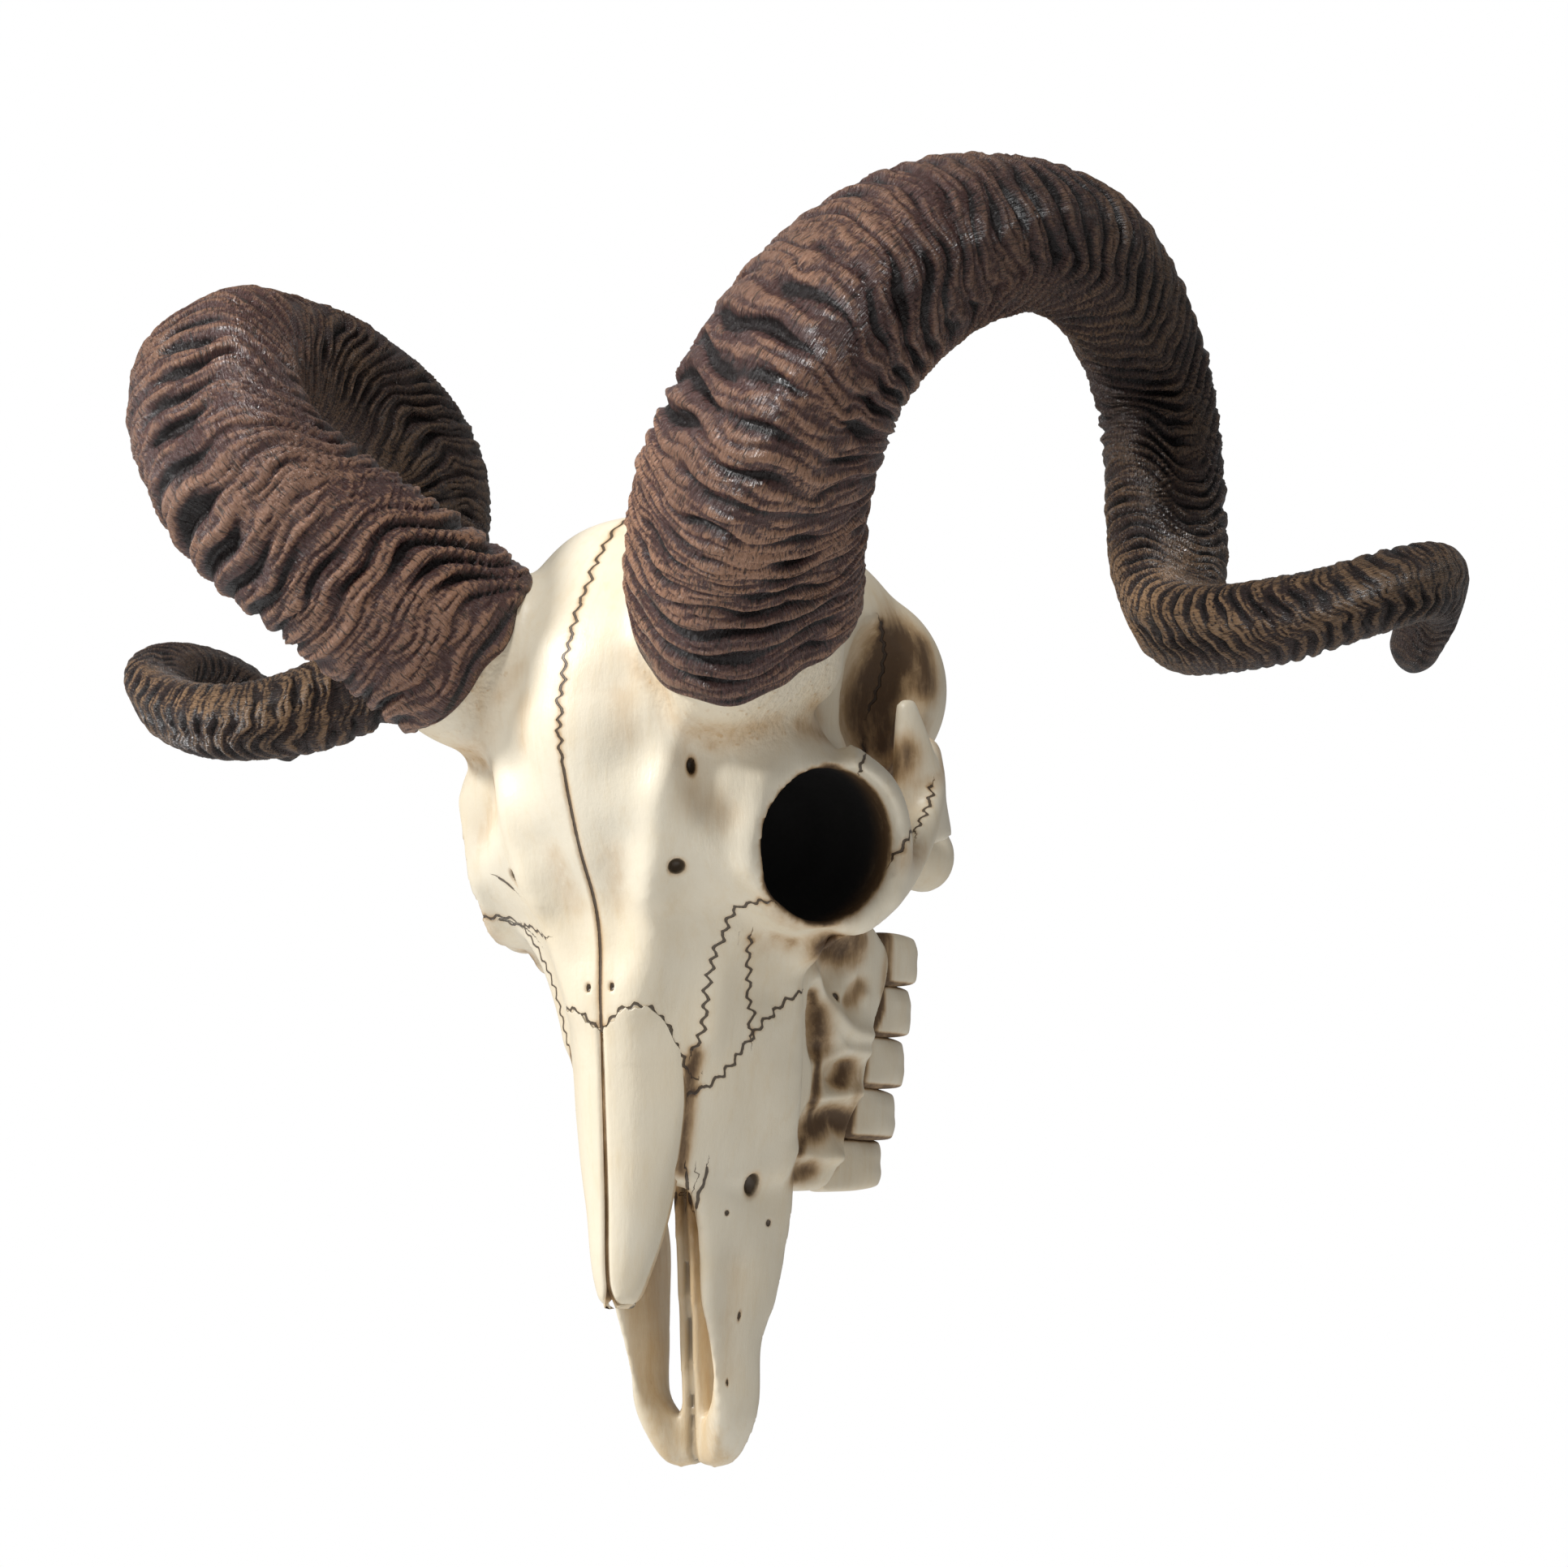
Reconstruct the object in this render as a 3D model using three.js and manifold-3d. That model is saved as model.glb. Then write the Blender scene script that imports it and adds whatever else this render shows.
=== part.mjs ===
// Ram skull wall sculpture: a cast skull with two spiral horns and a hanging plate on its back.
// Millimetres, +Z up, -Y the face, +X the skull's own left side. The origin is the middle of the
// hanging plate's back face, which lies on the wall.

import * as THREE from "three";
import { mergeVertices } from "three/addons/utils/BufferGeometryUtils.js";
import Module from "manifold-3d";

const wasm = await Module();
wasm.setup();

// ---- Driving dimensions -----------------------------------------------------------------------
// Inside the sculpture x = 0 is the midline, z = 0 the height of the eye sockets, and y = 0 lies
// just behind the rims of the sockets.

const wallDistance = 108; // from y = 0 back to the wall
const hangerHeight = 48; // of the hanging plate's middle above z = 0
const partGap = 0.3; // the thin cut between neighbouring pieces
const sliver = 0.05; // the narrowest triangles that are kept

// Braincase and forehead. Each profile is a list of [height z, value] keys.
const vault = {
  front: [[-60, -26], [-38, -31], [-16, -41], [3, -49], [20, -53.5], [30, -53.5], [50, -48.5], [68, -39.5],
    [82, -30], [91, -19], [96, -2]],
  back: [[-60, 44], [-38, 62], [-16, 84], [3, 95], [20, 100], [50, 100], [68, 96], [82, 84], [91, 68], [96, 46]],
  halfWidth: [[-60, 20], [-38, 27], [-16, 36], [3, 43], [20, 48], [50, 53], [68, 51], [82, 43], [91, 31], [96, 12]],
  squareness: 2.4,
  bottom: -60,
  top: 96,
  stations: 13,
  sides: 22,
};

const orbit = {
  centre: new THREE.Vector3(64, -5, -12), // middle of the eye socket's opening
  axis: new THREE.Vector3(0.89, -0.39, -0.17).normalize(), // out of the opening
  openRadius: 22.5,
  rimRadius: 26.5,
  middleRadius: 31,
  rootRadius: 37,
  rootDepth: 46,
  socketDepth: 36,
  sides: 16,
};

// Half outline of the brow and snout at each height: nose ridge, side of the nose, cheek edge, hollow
// over the gum, outer gum, and the middle of the palate.
const snout = [
  { z: 34, ridge: -50, side: [40, -33], cheek: [54, -10], hollow: [50, 10], gum: [38, 30], palate: 40 },
  { z: 20, ridge: -52, side: [38, -37], cheek: [63, -17], hollow: [60, 0], gum: [38, 30], palate: 40 },
  { z: 4, ridge: -49, side: [33, -41], cheek: [57, -24], hollow: [59, -4], gum: [38, 30], palate: 40 },
  { z: -13, ridge: -43, side: [28, -38], cheek: [54, -25], hollow: [56, -6], gum: [38, 40], palate: 50 },
  { z: -28, ridge: -35.5, side: [25, -33], cheek: [49, -15], hollow: [51, 4], gum: [37, 62], palate: 62 },
  { z: -37, ridge: -33.2, side: [22, -31], cheek: [46.5, 0], hollow: [43, 24], gum: [36.5, 74], palate: 66 },
  { z: -47, ridge: -32.6, side: [19.5, -29], cheek: [45, 9], hollow: [38, 30], gum: [36, 74], palate: 66 },
  { z: -62, ridge: -31.8, side: [17, -25.5], cheek: [42.5, 14], hollow: [34, 32], gum: [34, 74], palate: 65 },
  { z: -86, ridge: -30.5, side: [19.5, -16.5], cheek: [38, 20], hollow: [30, 36], gum: [30, 74], palate: 62 },
  { z: -103, ridge: -29.5, side: [18, -13.5], cheek: [33, 24], hollow: [25, 38], gum: [25, 74], palate: 56 },
  { z: -113, ridge: -29, side: [17, -12.5], cheek: [29, 28], hollow: [24, 40], gum: [21, 70], palate: 44 },
];
const snoutBottom = snout[snout.length - 1].z;
const noseCavity = { top: -100, halfWidth: 14, front: -8, back: 33 };

// The upper jaw parts from the cranium along a slanting plane, and behind it along a level one.
const jawSplit = {
  point: new THREE.Vector3(24, -20, -86),
  upward: new THREE.Vector3(-1, -0.5, 1).normalize(),
  halfWidth: 46.5,
  gumFront: 44,
  gumTop: -30.5,
};

// One nasal bone, against the share of its length from the brow down to its tip.
const nasal = {
  z: [[0, -64], [0.25, -86], [0.6, -118], [0.85, -139], [0.95, -146], [1, -150]],
  ridge: [[0, -31.7], [0.25, -30.4], [0.6, -28.8], [0.85, -28.2], [1, -26]],
  width: [[0, 13.5], [0.12, 18.5], [0.25, 20], [0.6, 16], [0.82, 11.5], [0.95, 7.5], [1, 3.5]],
  sideDrop: [[0, 6.5], [0.25, 14], [0.6, 14.5], [0.82, 11], [1, 3]],
  thickness: 5.5,
  lean: 0.5, // of its cut side
  roomWidth: 20,
  roomDepth: 4,
  stations: 9,
  steps: 5,
};

// The blade beside the nose opening: its front and back edges at each height, and its thickness.
const premaxilla = [
  { z: snoutBottom - partGap, front: [19, -4], back: [27, 33], thick: 8 },
  { z: -131, front: [18.3, -1], back: [25, 32.5], thick: 6 },
  { z: -147, front: [18, 0], back: [24, 31], thick: 5 },
  { z: -160, front: [18, 4], back: [21.5, 27.5], thick: 5 },
  { z: -176, front: [16.7, 8], back: [20, 25.5], thick: 5.5 },
  { z: -183, front: [15, 10.5], back: [18, 25.5], thick: 13 },
  { z: -191, front: [11.5, 14.5], back: [13.5, 25], thick: 11 },
  { z: -198.5, front: [6.5, 19.5], back: [7.5, 23.5], thick: 5 },
];
const palateRod = { halfWidth: 3.9, front: 11, back: 26, slope: 0.075 };

const toothRow = {
  topHeight: -31.5,
  pitch: 16.1,
  between: 1.5,
  outerX: [36.5, 34, 31.5, 28, 22.5],
  width: 13,
  rootDepth: 66,
  crownDepth: 91.5,
  crownTaper: 0.86,
};

// The cheek bone runs under and behind the eye socket, and on to the side of the braincase.
const cheekBar = {
  path: [[48, 4, -42], [60, 8, -38], [69, 20, -27], [69, 38, -10], [63, 55, 8], [52, 68, 22]],
  radii: [7, 6.5, 6.5, 7, 8, 10],
  flatness: 0.62,
  steps: 8,
};
const eyeBar = {
  path: [[68, -2, 14], [74, 12, 5], [74, 20, -12], [69, 20, -27]],
  radii: [7, 6, 5.5, 6.5],
  flatness: 0.8,
  steps: 6,
};
const cheekSpur = { path: [[64, 50, 2], [62.5, 47, 20], [61.5, 46, 37]], radii: [9, 6, 2], flatness: 0.7, steps: 3 };
const barSides = 8;

// Rounded masses of the skull's base and back.
const masses = [
  { at: [37, 84, 52], size: [15, 15, 24] }, // corner of the nape
  { at: [39, 89, -6], size: [10, 12, 12] }, // ear capsule
  { at: [29, 80, 0], size: [15, 15, 17] }, // lower corner of the braincase
  { at: [16, 97, 0], size: [11, 9, 15] }, // neck joint
  { at: [22, 70, -13], size: [15, 18, 17] }, // base of the skull
];
const massDetail = 9;
const temple = { at: [64, 40, 22], size: [19, 25, 36], detail: 12 }; // the hollow behind the eye socket

const hornPath = [
  [38, -14, 36], [52, -34, 54], [72, -61, 78], [94, -80, 101], [113, -77, 130], [129, -53, 151], [143, -16, 161],
  [145, 18, 160], [139, 59, 137], [140, 66, 112], [146, 58, 77], [160, 37, 55], [184, 23, 48.5], [213, 21, 50],
  [234, 31, 57], [238, 53, 62], [227, 75, 57], [213.5, 84, 40],
];
// Radius against the share of the whole path.
const hornRadius = [
  [0, 31], [0.08, 32.7], [0.18, 31], [0.25, 28.6], [0.32, 25.6], [0.385, 22], [0.45, 19.4], [0.52, 18], [0.66, 17.6],
  [0.71, 15.6], [0.78, 13.2], [0.88, 12.3], [0.95, 10.8], [0.985, 8], [1, 4.5],
];
// The two horns aren't quite alike: how far each rises above the path, against the share of it.
const hornLift = {
  left: [[0.1, 0], [0.24, -2.5], [0.39, 3.5], [0.47, 0.5], [0.55, 0], [0.9, -1], [1, 0]],
  right: [[0.1, 0], [0.2, -2.5], [0.38, -4.5], [0.55, 0], [0.79, -1.5], [0.9, 8], [0.96, 8], [1, 2]],
};
const horn = {
  pedicleShare: 0.048, // where the bony stalk ends and the sheath begins
  pedicleInset: 3,
  roomShare: 0.16,
  corner: 0.091, // how far the three corners stand out
  flattening: 0.062,
  flatteningTurn: THREE.MathUtils.degToRad(-62),
  twist: THREE.MathUtils.degToRad(38),
  ridges: 38,
  ridgeHeight: 1.1,
  fullRidgeRadius: 24, // ridges shrink where the horn is thinner than this
  sides: 12,
  samples: 120,
  easing: 8,
  frames: 800,
};

const hanger = { width: 44, height: 52, thickness: 14, corner: 6 };

const boneFinish = { color: 0xe4dac0, roughness: 0.42, metalness: 0 };
const hornFinish = { color: 0x5b4136, roughness: 0.5, metalness: 0 };
const plateFinish = { color: 0xcfc6ae, roughness: 0.65, metalness: 0 };

// ---- Helpers ----------------------------------------------------------------------------------

const vector = (point) => new THREE.Vector3(...point);
const mirrorX = (point) => new THREE.Vector3(-point.x, point.y, point.z);
const fullTurn = 2 * Math.PI;

// A smooth function through [position, value] keys, level beyond both ends.
function through(keys) {
  const slopes = keys.map((key, i) => {
    const before = keys[Math.max(i - 1, 0)];
    const after = keys[Math.min(i + 1, keys.length - 1)];
    return (after[1] - before[1]) / (after[0] - before[0]);
  });
  return (position) => {
    let i = 0;
    while (i < keys.length - 2 && position > keys[i + 1][0]) i += 1;
    const span = keys[i + 1][0] - keys[i][0];
    const s = THREE.MathUtils.clamp((position - keys[i][0]) / span, 0, 1);
    const start = keys[i][1] * (1 + 2 * s) * (1 - s) ** 2 + span * slopes[i] * s * (1 - s) ** 2;
    return start + keys[i + 1][1] * s * s * (3 - 2 * s) + span * slopes[i + 1] * s * s * (s - 1);
  };
}

// Turns a closed geometry into a solid with its faces pointing out.
function toSolid(geometry) {
  const bare = geometry.clone();
  bare.deleteAttribute("normal");
  bare.deleteAttribute("uv");
  const merged = mergeVertices(bare, 1e-4);
  const vertProperties = merged.attributes.position.array;
  const triVerts = new Uint32Array(merged.index.array);
  const made = new wasm.Manifold(new wasm.Mesh({ numProp: 3, vertProperties, triVerts }));
  if (made.volume() > 0) return made;
  for (let i = 0; i < triVerts.length; i += 3) {
    [triVerts[i + 1], triVerts[i + 2]] = [triVerts[i + 2], triVerts[i + 1]];
  }
  return new wasm.Manifold(new wasm.Mesh({ numProp: 3, vertProperties, triVerts }));
}

function toGeometry(made) {
  const mesh = made.getMesh();
  const geometry = new THREE.BufferGeometry();
  geometry.setAttribute("position", new THREE.BufferAttribute(mesh.vertProperties, 3));
  geometry.setIndex(new THREE.BufferAttribute(mesh.triVerts, 1));
  const faceted = geometry.toNonIndexed();
  faceted.computeVertexNormals();
  return faceted;
}

function average(points) {
  const sum = new THREE.Vector3();
  points.forEach((point) => sum.add(point));
  return sum.divideScalar(points.length);
}

// A closed solid through rings of points, with a cap on both ends.
function loft(rings) {
  const count = rings[0].length;
  const points = rings.flat();
  const index = [];
  for (let i = 0; i < rings.length - 1; i++) {
    for (let j = 0; j < count; j++) {
      const next = (j + 1) % count;
      const [a, b, c, d] = [i * count + j, i * count + next, (i + 1) * count + next, (i + 1) * count + j];
      index.push(a, b, c, a, c, d);
    }
  }
  const addCap = (ring, first, reversed) => {
    const middle = points.push(average(ring)) - 1;
    for (let j = 0; j < count; j++) {
      const next = (j + 1) % count;
      index.push(middle, first + (reversed ? next : j), first + (reversed ? j : next));
    }
  };
  addCap(rings[0], 0, true);
  addCap(rings[rings.length - 1], (rings.length - 1) * count, false);
  const geometry = new THREE.BufferGeometry().setFromPoints(points);
  geometry.setIndex(index);
  return toSolid(geometry);
}

// A level outline with its points in order round it, moved outward by a distance.
function grownOutline(outline, distance) {
  const outward = (from, to) => new THREE.Vector3(to.y - from.y, from.x - to.x, 0).normalize();
  const middle = average(outline);
  const side = Math.sign(outward(outline[0], outline[1]).dot(outline[0].clone().sub(middle)));
  return outline.map((point, i) => {
    const before = outward(outline.at(i - 1), point);
    const after = outward(point, outline[(i + 1) % outline.length]);
    const reach = (side * distance) / (1 + before.dot(after));
    return point.clone().addScaledVector(before.add(after), reach);
  });
}

function ball({ at, size }, detail) {
  const geometry = new THREE.SphereGeometry(1, detail, Math.round(detail * 0.7));
  geometry.scale(...size);
  geometry.translate(...at);
  return toSolid(geometry);
}

function box(low, high) {
  const geometry = new THREE.BoxGeometry(high[0] - low[0], high[1] - low[1], high[2] - low[2]);
  geometry.translate((low[0] + high[0]) / 2, (low[1] + high[1]) / 2, (low[2] + high[2]) / 2);
  return toSolid(geometry);
}

// Everything above a slanting plane.
function above(point, upward) {
  const size = 500;
  const geometry = new THREE.BoxGeometry(size, size, size);
  geometry.translate(0, 0, size / 2);
  geometry.applyQuaternion(new THREE.Quaternion().setFromUnitVectors(new THREE.Vector3(0, 0, 1), upward));
  geometry.translate(...point.toArray());
  return toSolid(geometry);
}

// Frames along a curve that turn as little as possible, with one side facing forward at its start.
function framesAlong(curve, count) {
  const frames = [];
  let side = new THREE.Vector3(0, -1, 0);
  for (let i = 0; i <= count; i++) {
    const tangent = curve.getTangentAt(i / count);
    side = side.clone().addScaledVector(tangent, -side.dot(tangent)).normalize();
    frames.push({ at: curve.getPointAt(i / count), side, up: tangent.clone().cross(side) });
  }
  return frames;
}

// A bar of oval section along a path.
function bar({ path, radii, flatness, steps }) {
  const curve = new THREE.CatmullRomCurve3(path.map(vector), false, "centripetal");
  const radius = through(radii.map((value, i) => [i / (radii.length - 1), value]));
  const rings = framesAlong(curve, steps).map((frame, i) => {
    const r = radius(i / steps);
    return Array.from({ length: barSides }, (_, j) => {
      const angle = (j / barSides) * fullTurn;
      const point = frame.at.clone().addScaledVector(frame.side, r * Math.cos(angle));
      return point.addScaledVector(frame.up, r * flatness * Math.sin(angle));
    });
  });
  return loft(rings);
}

const joined = (solids) => solids.reduce((whole, piece) => whole.add(piece));
const flipped = (made) => made.mirror([1, 0, 0]);
const bothSides = (made) => made.add(flipped(made));

// ---- Skull ------------------------------------------------------------------------------------

function makeVault() {
  const [front, back, halfWidth] = [vault.front, vault.back, vault.halfWidth].map(through);
  const power = 2 / vault.squareness;
  const swell = (value) => Math.sign(value) * Math.abs(value) ** power;
  const rings = Array.from({ length: vault.stations }, (_, i) => {
    const share = 0.5 - 0.5 * Math.cos((Math.PI * i) / (vault.stations - 1));
    const z = vault.bottom + (vault.top - vault.bottom) * share;
    const middle = (front(z) + back(z)) / 2;
    const depth = (back(z) - front(z)) / 2;
    return Array.from({ length: vault.sides }, (_, j) => {
      const angle = (j / vault.sides) * fullTurn;
      return new THREE.Vector3(halfWidth(z) * swell(Math.sin(angle)), middle - depth * swell(Math.cos(angle)), z);
    });
  });
  return loft(rings);
}

function makeSnout() {
  const rings = snout.map(({ z, ridge, side, cheek, hollow, gum, palate }) => {
    const half = [
      [side[0] * 0.5, ridge + (side[1] - ridge) * 0.22],
      side,
      [(side[0] + cheek[0]) / 2 + 1.5, (side[1] + cheek[1]) / 2 - 1.5],
      cheek,
      hollow,
      [gum[0], gum[1] - 12],
      gum,
      [gum[0] - toothRow.width, gum[1]],
      [gum[0] - toothRow.width - 3, palate],
    ].map(([x, y]) => new THREE.Vector3(x, y, z));
    const nose = new THREE.Vector3(0, ridge, z);
    const roof = new THREE.Vector3(0, palate - 3, z);
    return [nose, ...half, roof, ...half.map(mirrorX).reverse()];
  });
  return loft(rings);
}

// A ring round the eye socket's axis, at a depth behind its opening.
function orbitRing(depth, radius) {
  const across = new THREE.Vector3(0, 0, 1).cross(orbit.axis).normalize();
  const upward = orbit.axis.clone().cross(across);
  return Array.from({ length: orbit.sides }, (_, j) => {
    const angle = (j / orbit.sides) * fullTurn;
    const point = orbit.centre.clone().addScaledVector(orbit.axis, -depth);
    return point.addScaledVector(across, radius * Math.cos(angle)).addScaledVector(upward, radius * Math.sin(angle));
  });
}

function makeOrbitWall() {
  const { rimRadius, middleRadius, rootRadius, rootDepth } = orbit;
  return loft([orbitRing(0, rimRadius), orbitRing(rootDepth / 2, middleRadius), orbitRing(rootDepth, rootRadius)]);
}

function makeSocket() {
  const { openRadius, socketDepth } = orbit;
  return loft([
    orbitRing(-6, openRadius + 1),
    orbitRing(0, openRadius),
    orbitRing(socketDepth * 0.6, openRadius * 0.92),
    orbitRing(socketDepth * 0.9, openRadius * 0.6),
    orbitRing(socketDepth, openRadius * 0.25),
  ]);
}

function makeTeeth() {
  const { topHeight, pitch, between, outerX, width, rootDepth, crownDepth, crownTaper } = toothRow;
  const corners = [[1, 0.6], [0.6, 1], [-0.6, 1], [-1, 0.6], [-1, -0.6], [-0.6, -1], [0.6, -1], [1, -0.6]];
  const solids = outerX.map((outer, i) => {
    const middle = topHeight - i * pitch - (pitch - between) / 2;
    const ring = (y, scale) =>
      corners.map(([across, along]) => {
        const x = outer - width / 2 + (across * scale * width) / 2;
        return new THREE.Vector3(x, y, middle + (along * scale * (pitch - between)) / 2);
      });
    return loft([ring(rootDepth, 1), ring(crownDepth - 3, 1), ring(crownDepth, crownTaper)]);
  });
  return joined(solids);
}

// The level outlines of one nasal bone, with its outer points first and both ends on the midline.
function nasalOutlines() {
  const [z, ridge, width, sideDrop] = [nasal.z, nasal.ridge, nasal.width, nasal.sideDrop].map(through);
  return Array.from({ length: nasal.stations }, (_, i) => {
    const share = i / (nasal.stations - 1);
    const inset = Math.min(nasal.thickness, width(share) * 0.8);
    const outer = Array.from({ length: nasal.steps + 1 }, (_, j) => {
      const angle = ((j / nasal.steps) * Math.PI) / 2;
      const x = partGap / 2 + width(share) * Math.sin(angle);
      return new THREE.Vector3(x, ridge(share) + sideDrop(share) * (1 - Math.cos(angle)), z(share));
    });
    const inner = outer.map((point) => new THREE.Vector3(point.x, point.y + inset, point.z));
    inner[nasal.steps].x -= inset * nasal.lean;
    return [...outer, ...inner.reverse()];
  });
}

// The room that a nasal bone takes out of the bones beside it, with nothing left in front of it.
function makeNasalRoom() {
  const rings = nasalOutlines().map((outline, i) => {
    const grown = grownOutline(outline, partGap);
    grown.slice(0, nasal.steps + 1).forEach((point) => {
      point.x += (point.x / nasal.roomWidth) * nasal.roomDepth;
      point.y -= nasal.roomDepth;
    });
    if (i === 0) grown.forEach((point) => (point.z += partGap));
    return grown;
  });
  return loft(rings);
}

function makePremaxilla() {
  const rings = premaxilla.map(({ z, front, back, thick }) => {
    const middle = [(front[0] + back[0]) / 2 + 1.5, (front[1] + back[1]) / 2];
    const outline = [
      front,
      middle,
      back,
      [back[0] - thick * 0.8, back[1] - 1.5],
      [middle[0] - thick, middle[1]],
      [front[0] - thick * 0.5, front[1] + 1.5],
    ];
    return outline.map(([x, y]) => new THREE.Vector3(Math.max(x, partGap / 2), y, z));
  });
  return loft(rings);
}

// The slim rod beside the midline, which closes the palate and meets the blade at its tip.
function makePalateRod() {
  const { halfWidth, front, back, slope } = palateRod;
  const top = snoutBottom - partGap;
  const tip = premaxilla[premaxilla.length - 1].z;
  const rings = [top, (top + tip) / 2, tip].map((z) => {
    const near = front + (top - z) * slope;
    const far = Math.min(back, near + 12);
    const half = z === tip ? halfWidth - 1 : halfWidth;
    return [[partGap / 2, near], [half, near + 1.5], [half, far - 1.5], [partGap / 2, far]].map(
      ([x, y]) => new THREE.Vector3(x, y, z),
    );
  });
  return loft(rings);
}

// ---- Horns ------------------------------------------------------------------------------------

// The path with its corners eased: every point is averaged with its neighbours a few times.
function makeHornCurve() {
  const rough = new THREE.CatmullRomCurve3(hornPath.map(vector), false, "centripetal");
  let points = rough.getSpacedPoints(horn.samples);
  for (let pass = 0; pass < horn.easing; pass++) {
    const inside = points.slice(1, -1).map((point, i) => average([points[i], point, point, points[i + 2]]));
    points = [points[0], ...inside, points[points.length - 1]];
  }
  const curve = new THREE.CatmullRomCurve3(points, false, "centripetal");
  curve.arcLengthDivisions = 2 * horn.frames;
  return curve;
}

const hornCurve = makeHornCurve();
const hornFrames = framesAlong(hornCurve, horn.frames);
const plainRadius = through(hornRadius);

// Rings of the horn's rounded three-cornered section between two shares of its path.
function hornRings(from, to, count, radiusAt, lift = () => 0) {
  return Array.from({ length: count + 1 }, (_, i) => {
    const share = from + (to - from) * (i / count);
    const { side, up } = hornFrames[Math.round(share * horn.frames)];
    const centre = hornCurve.getPointAt(share);
    centre.z += lift(share);
    return Array.from({ length: horn.sides }, (_, j) => {
      const angle = (j / horn.sides) * fullTurn;
      const oval = horn.flattening * Math.cos(2 * (angle - horn.flatteningTurn));
      const r = radiusAt(share, i) * (1 + horn.corner * Math.cos(3 * angle) + oval);
      const point = centre.clone().addScaledVector(side, r * Math.cos(angle + horn.twist));
      return point.addScaledVector(up, r * Math.sin(angle + horn.twist));
    });
  });
}

function makeHorn(lift) {
  const start = horn.pedicleShare + partGap / hornCurve.getLength();
  const ridged = (share, i) => {
    const height = horn.ridgeHeight * Math.min(1, plainRadius(share) / horn.fullRidgeRadius);
    return plainRadius(share) + (i % 2 ? height : -height);
  };
  return loft(hornRings(start, 1, 2 * horn.ridges, ridged, through(lift)));
}

function makePedicle() {
  return loft(hornRings(0, horn.pedicleShare, 2, (share) => plainRadius(share) - horn.pedicleInset));
}

// The room that the foot of the sheath takes out of the skull.
function makeHornRoom() {
  const swell = horn.ridgeHeight + 2 * partGap;
  return loft(hornRings(horn.pedicleShare, horn.roomShare, 4, (share) => plainRadius(share) + swell));
}

// ---- Hanging plate ----------------------------------------------------------------------------

function makeHanger(grow = 0) {
  const [x, z, r] = [hanger.width / 2 + grow, hanger.height / 2 + grow, hanger.corner];
  const shape = new THREE.Shape();
  shape.absarc(x - r, z - r, r, 0, Math.PI / 2);
  shape.absarc(r - x, z - r, r, Math.PI / 2, Math.PI);
  shape.absarc(r - x, r - z, r, Math.PI, 1.5 * Math.PI);
  shape.absarc(x - r, r - z, r, 1.5 * Math.PI, fullTurn);
  shape.closePath();
  const settings = { depth: hanger.thickness + grow, bevelEnabled: false, curveSegments: 3 };
  const geometry = new THREE.ExtrudeGeometry(shape, settings);
  geometry.rotateX(Math.PI / 2);
  geometry.translate(0, wallDistance, hangerHeight);
  return toSolid(geometry);
}

// ---- Assembly ---------------------------------------------------------------------------------

// Both sides of the skull in one solid, without the nasal bones, the premaxillae and the horns.
function makeSkull() {
  const bodies = [makeVault(), makeSnout()];
  const pairs = [makeOrbitWall(), makePedicle(), makeTeeth(), ...masses.map((mass) => ball(mass, massDetail))];
  const bars = [cheekBar, eyeBar, cheekSpur].map(bar);
  const { top, halfWidth, front, back } = noseCavity;
  return joined([...bodies, ...pairs.map(bothSides)])
    .subtract(bothSides(ball(temple, temple.detail)))
    .add(bothSides(joined(bars)))
    .subtract(bothSides(makeSocket()))
    .subtract(box([-halfWidth, front, snoutBottom - 1], [halfWidth, back, top]))
    .subtract(makeHanger(partGap))
    .subtract(bothSides(makeNasalRoom()))
    .subtract(bothSides(makeHornRoom()));
}

// The space of the left upper jaw from an inner x, with the room beyond its joint.
function jawSpace(innerX, room) {
  const { point, upward, halfWidth, gumFront, gumTop } = jawSplit;
  const far = 200;
  const slanted = above(point.clone().addScaledVector(upward, room), upward.clone().negate());
  const front = slanted.intersect(box([innerX, -far, -far], [halfWidth + room, gumFront, 0]));
  return front.add(box([innerX, gumFront - room, -far], [halfWidth + room, far, gumTop + room]));
}

const root = new THREE.Group();
const sculpture = new THREE.Group();
sculpture.position.set(0, -wallDistance, -hangerHeight);
root.add(sculpture);

function addMesh(name, made, finish) {
  const mesh = new THREE.Mesh(toGeometry(made), new THREE.MeshStandardMaterial(finish));
  mesh.name = name;
  sculpture.add(mesh);
}

function addPair(name, made, finish) {
  addMesh(name + "_left", made, finish);
  addMesh(name + "_right", flipped(made), finish);
}

const skull = makeSkull();
addMesh("cranium", skull.subtract(bothSides(jawSpace(-1, partGap))).simplify(sliver), boneFinish);
addPair("maxilla", skull.intersect(jawSpace(partGap / 2, 0)).simplify(sliver), boneFinish);
addPair("nasal", loft(nasalOutlines()), boneFinish);
addPair("premaxilla", makePremaxilla().add(makePalateRod()), boneFinish);
addMesh("horn_left", makeHorn(hornLift.left), hornFinish);
addMesh("horn_right", flipped(makeHorn(hornLift.right)), hornFinish);
addMesh("hanger_plate", makeHanger(), plateFinish);

export default root;
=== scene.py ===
import math

import bmesh
import bpy
import numpy as np
from mathutils import Matrix, Vector
from mathutils.bvhtree import BVHTree


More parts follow.
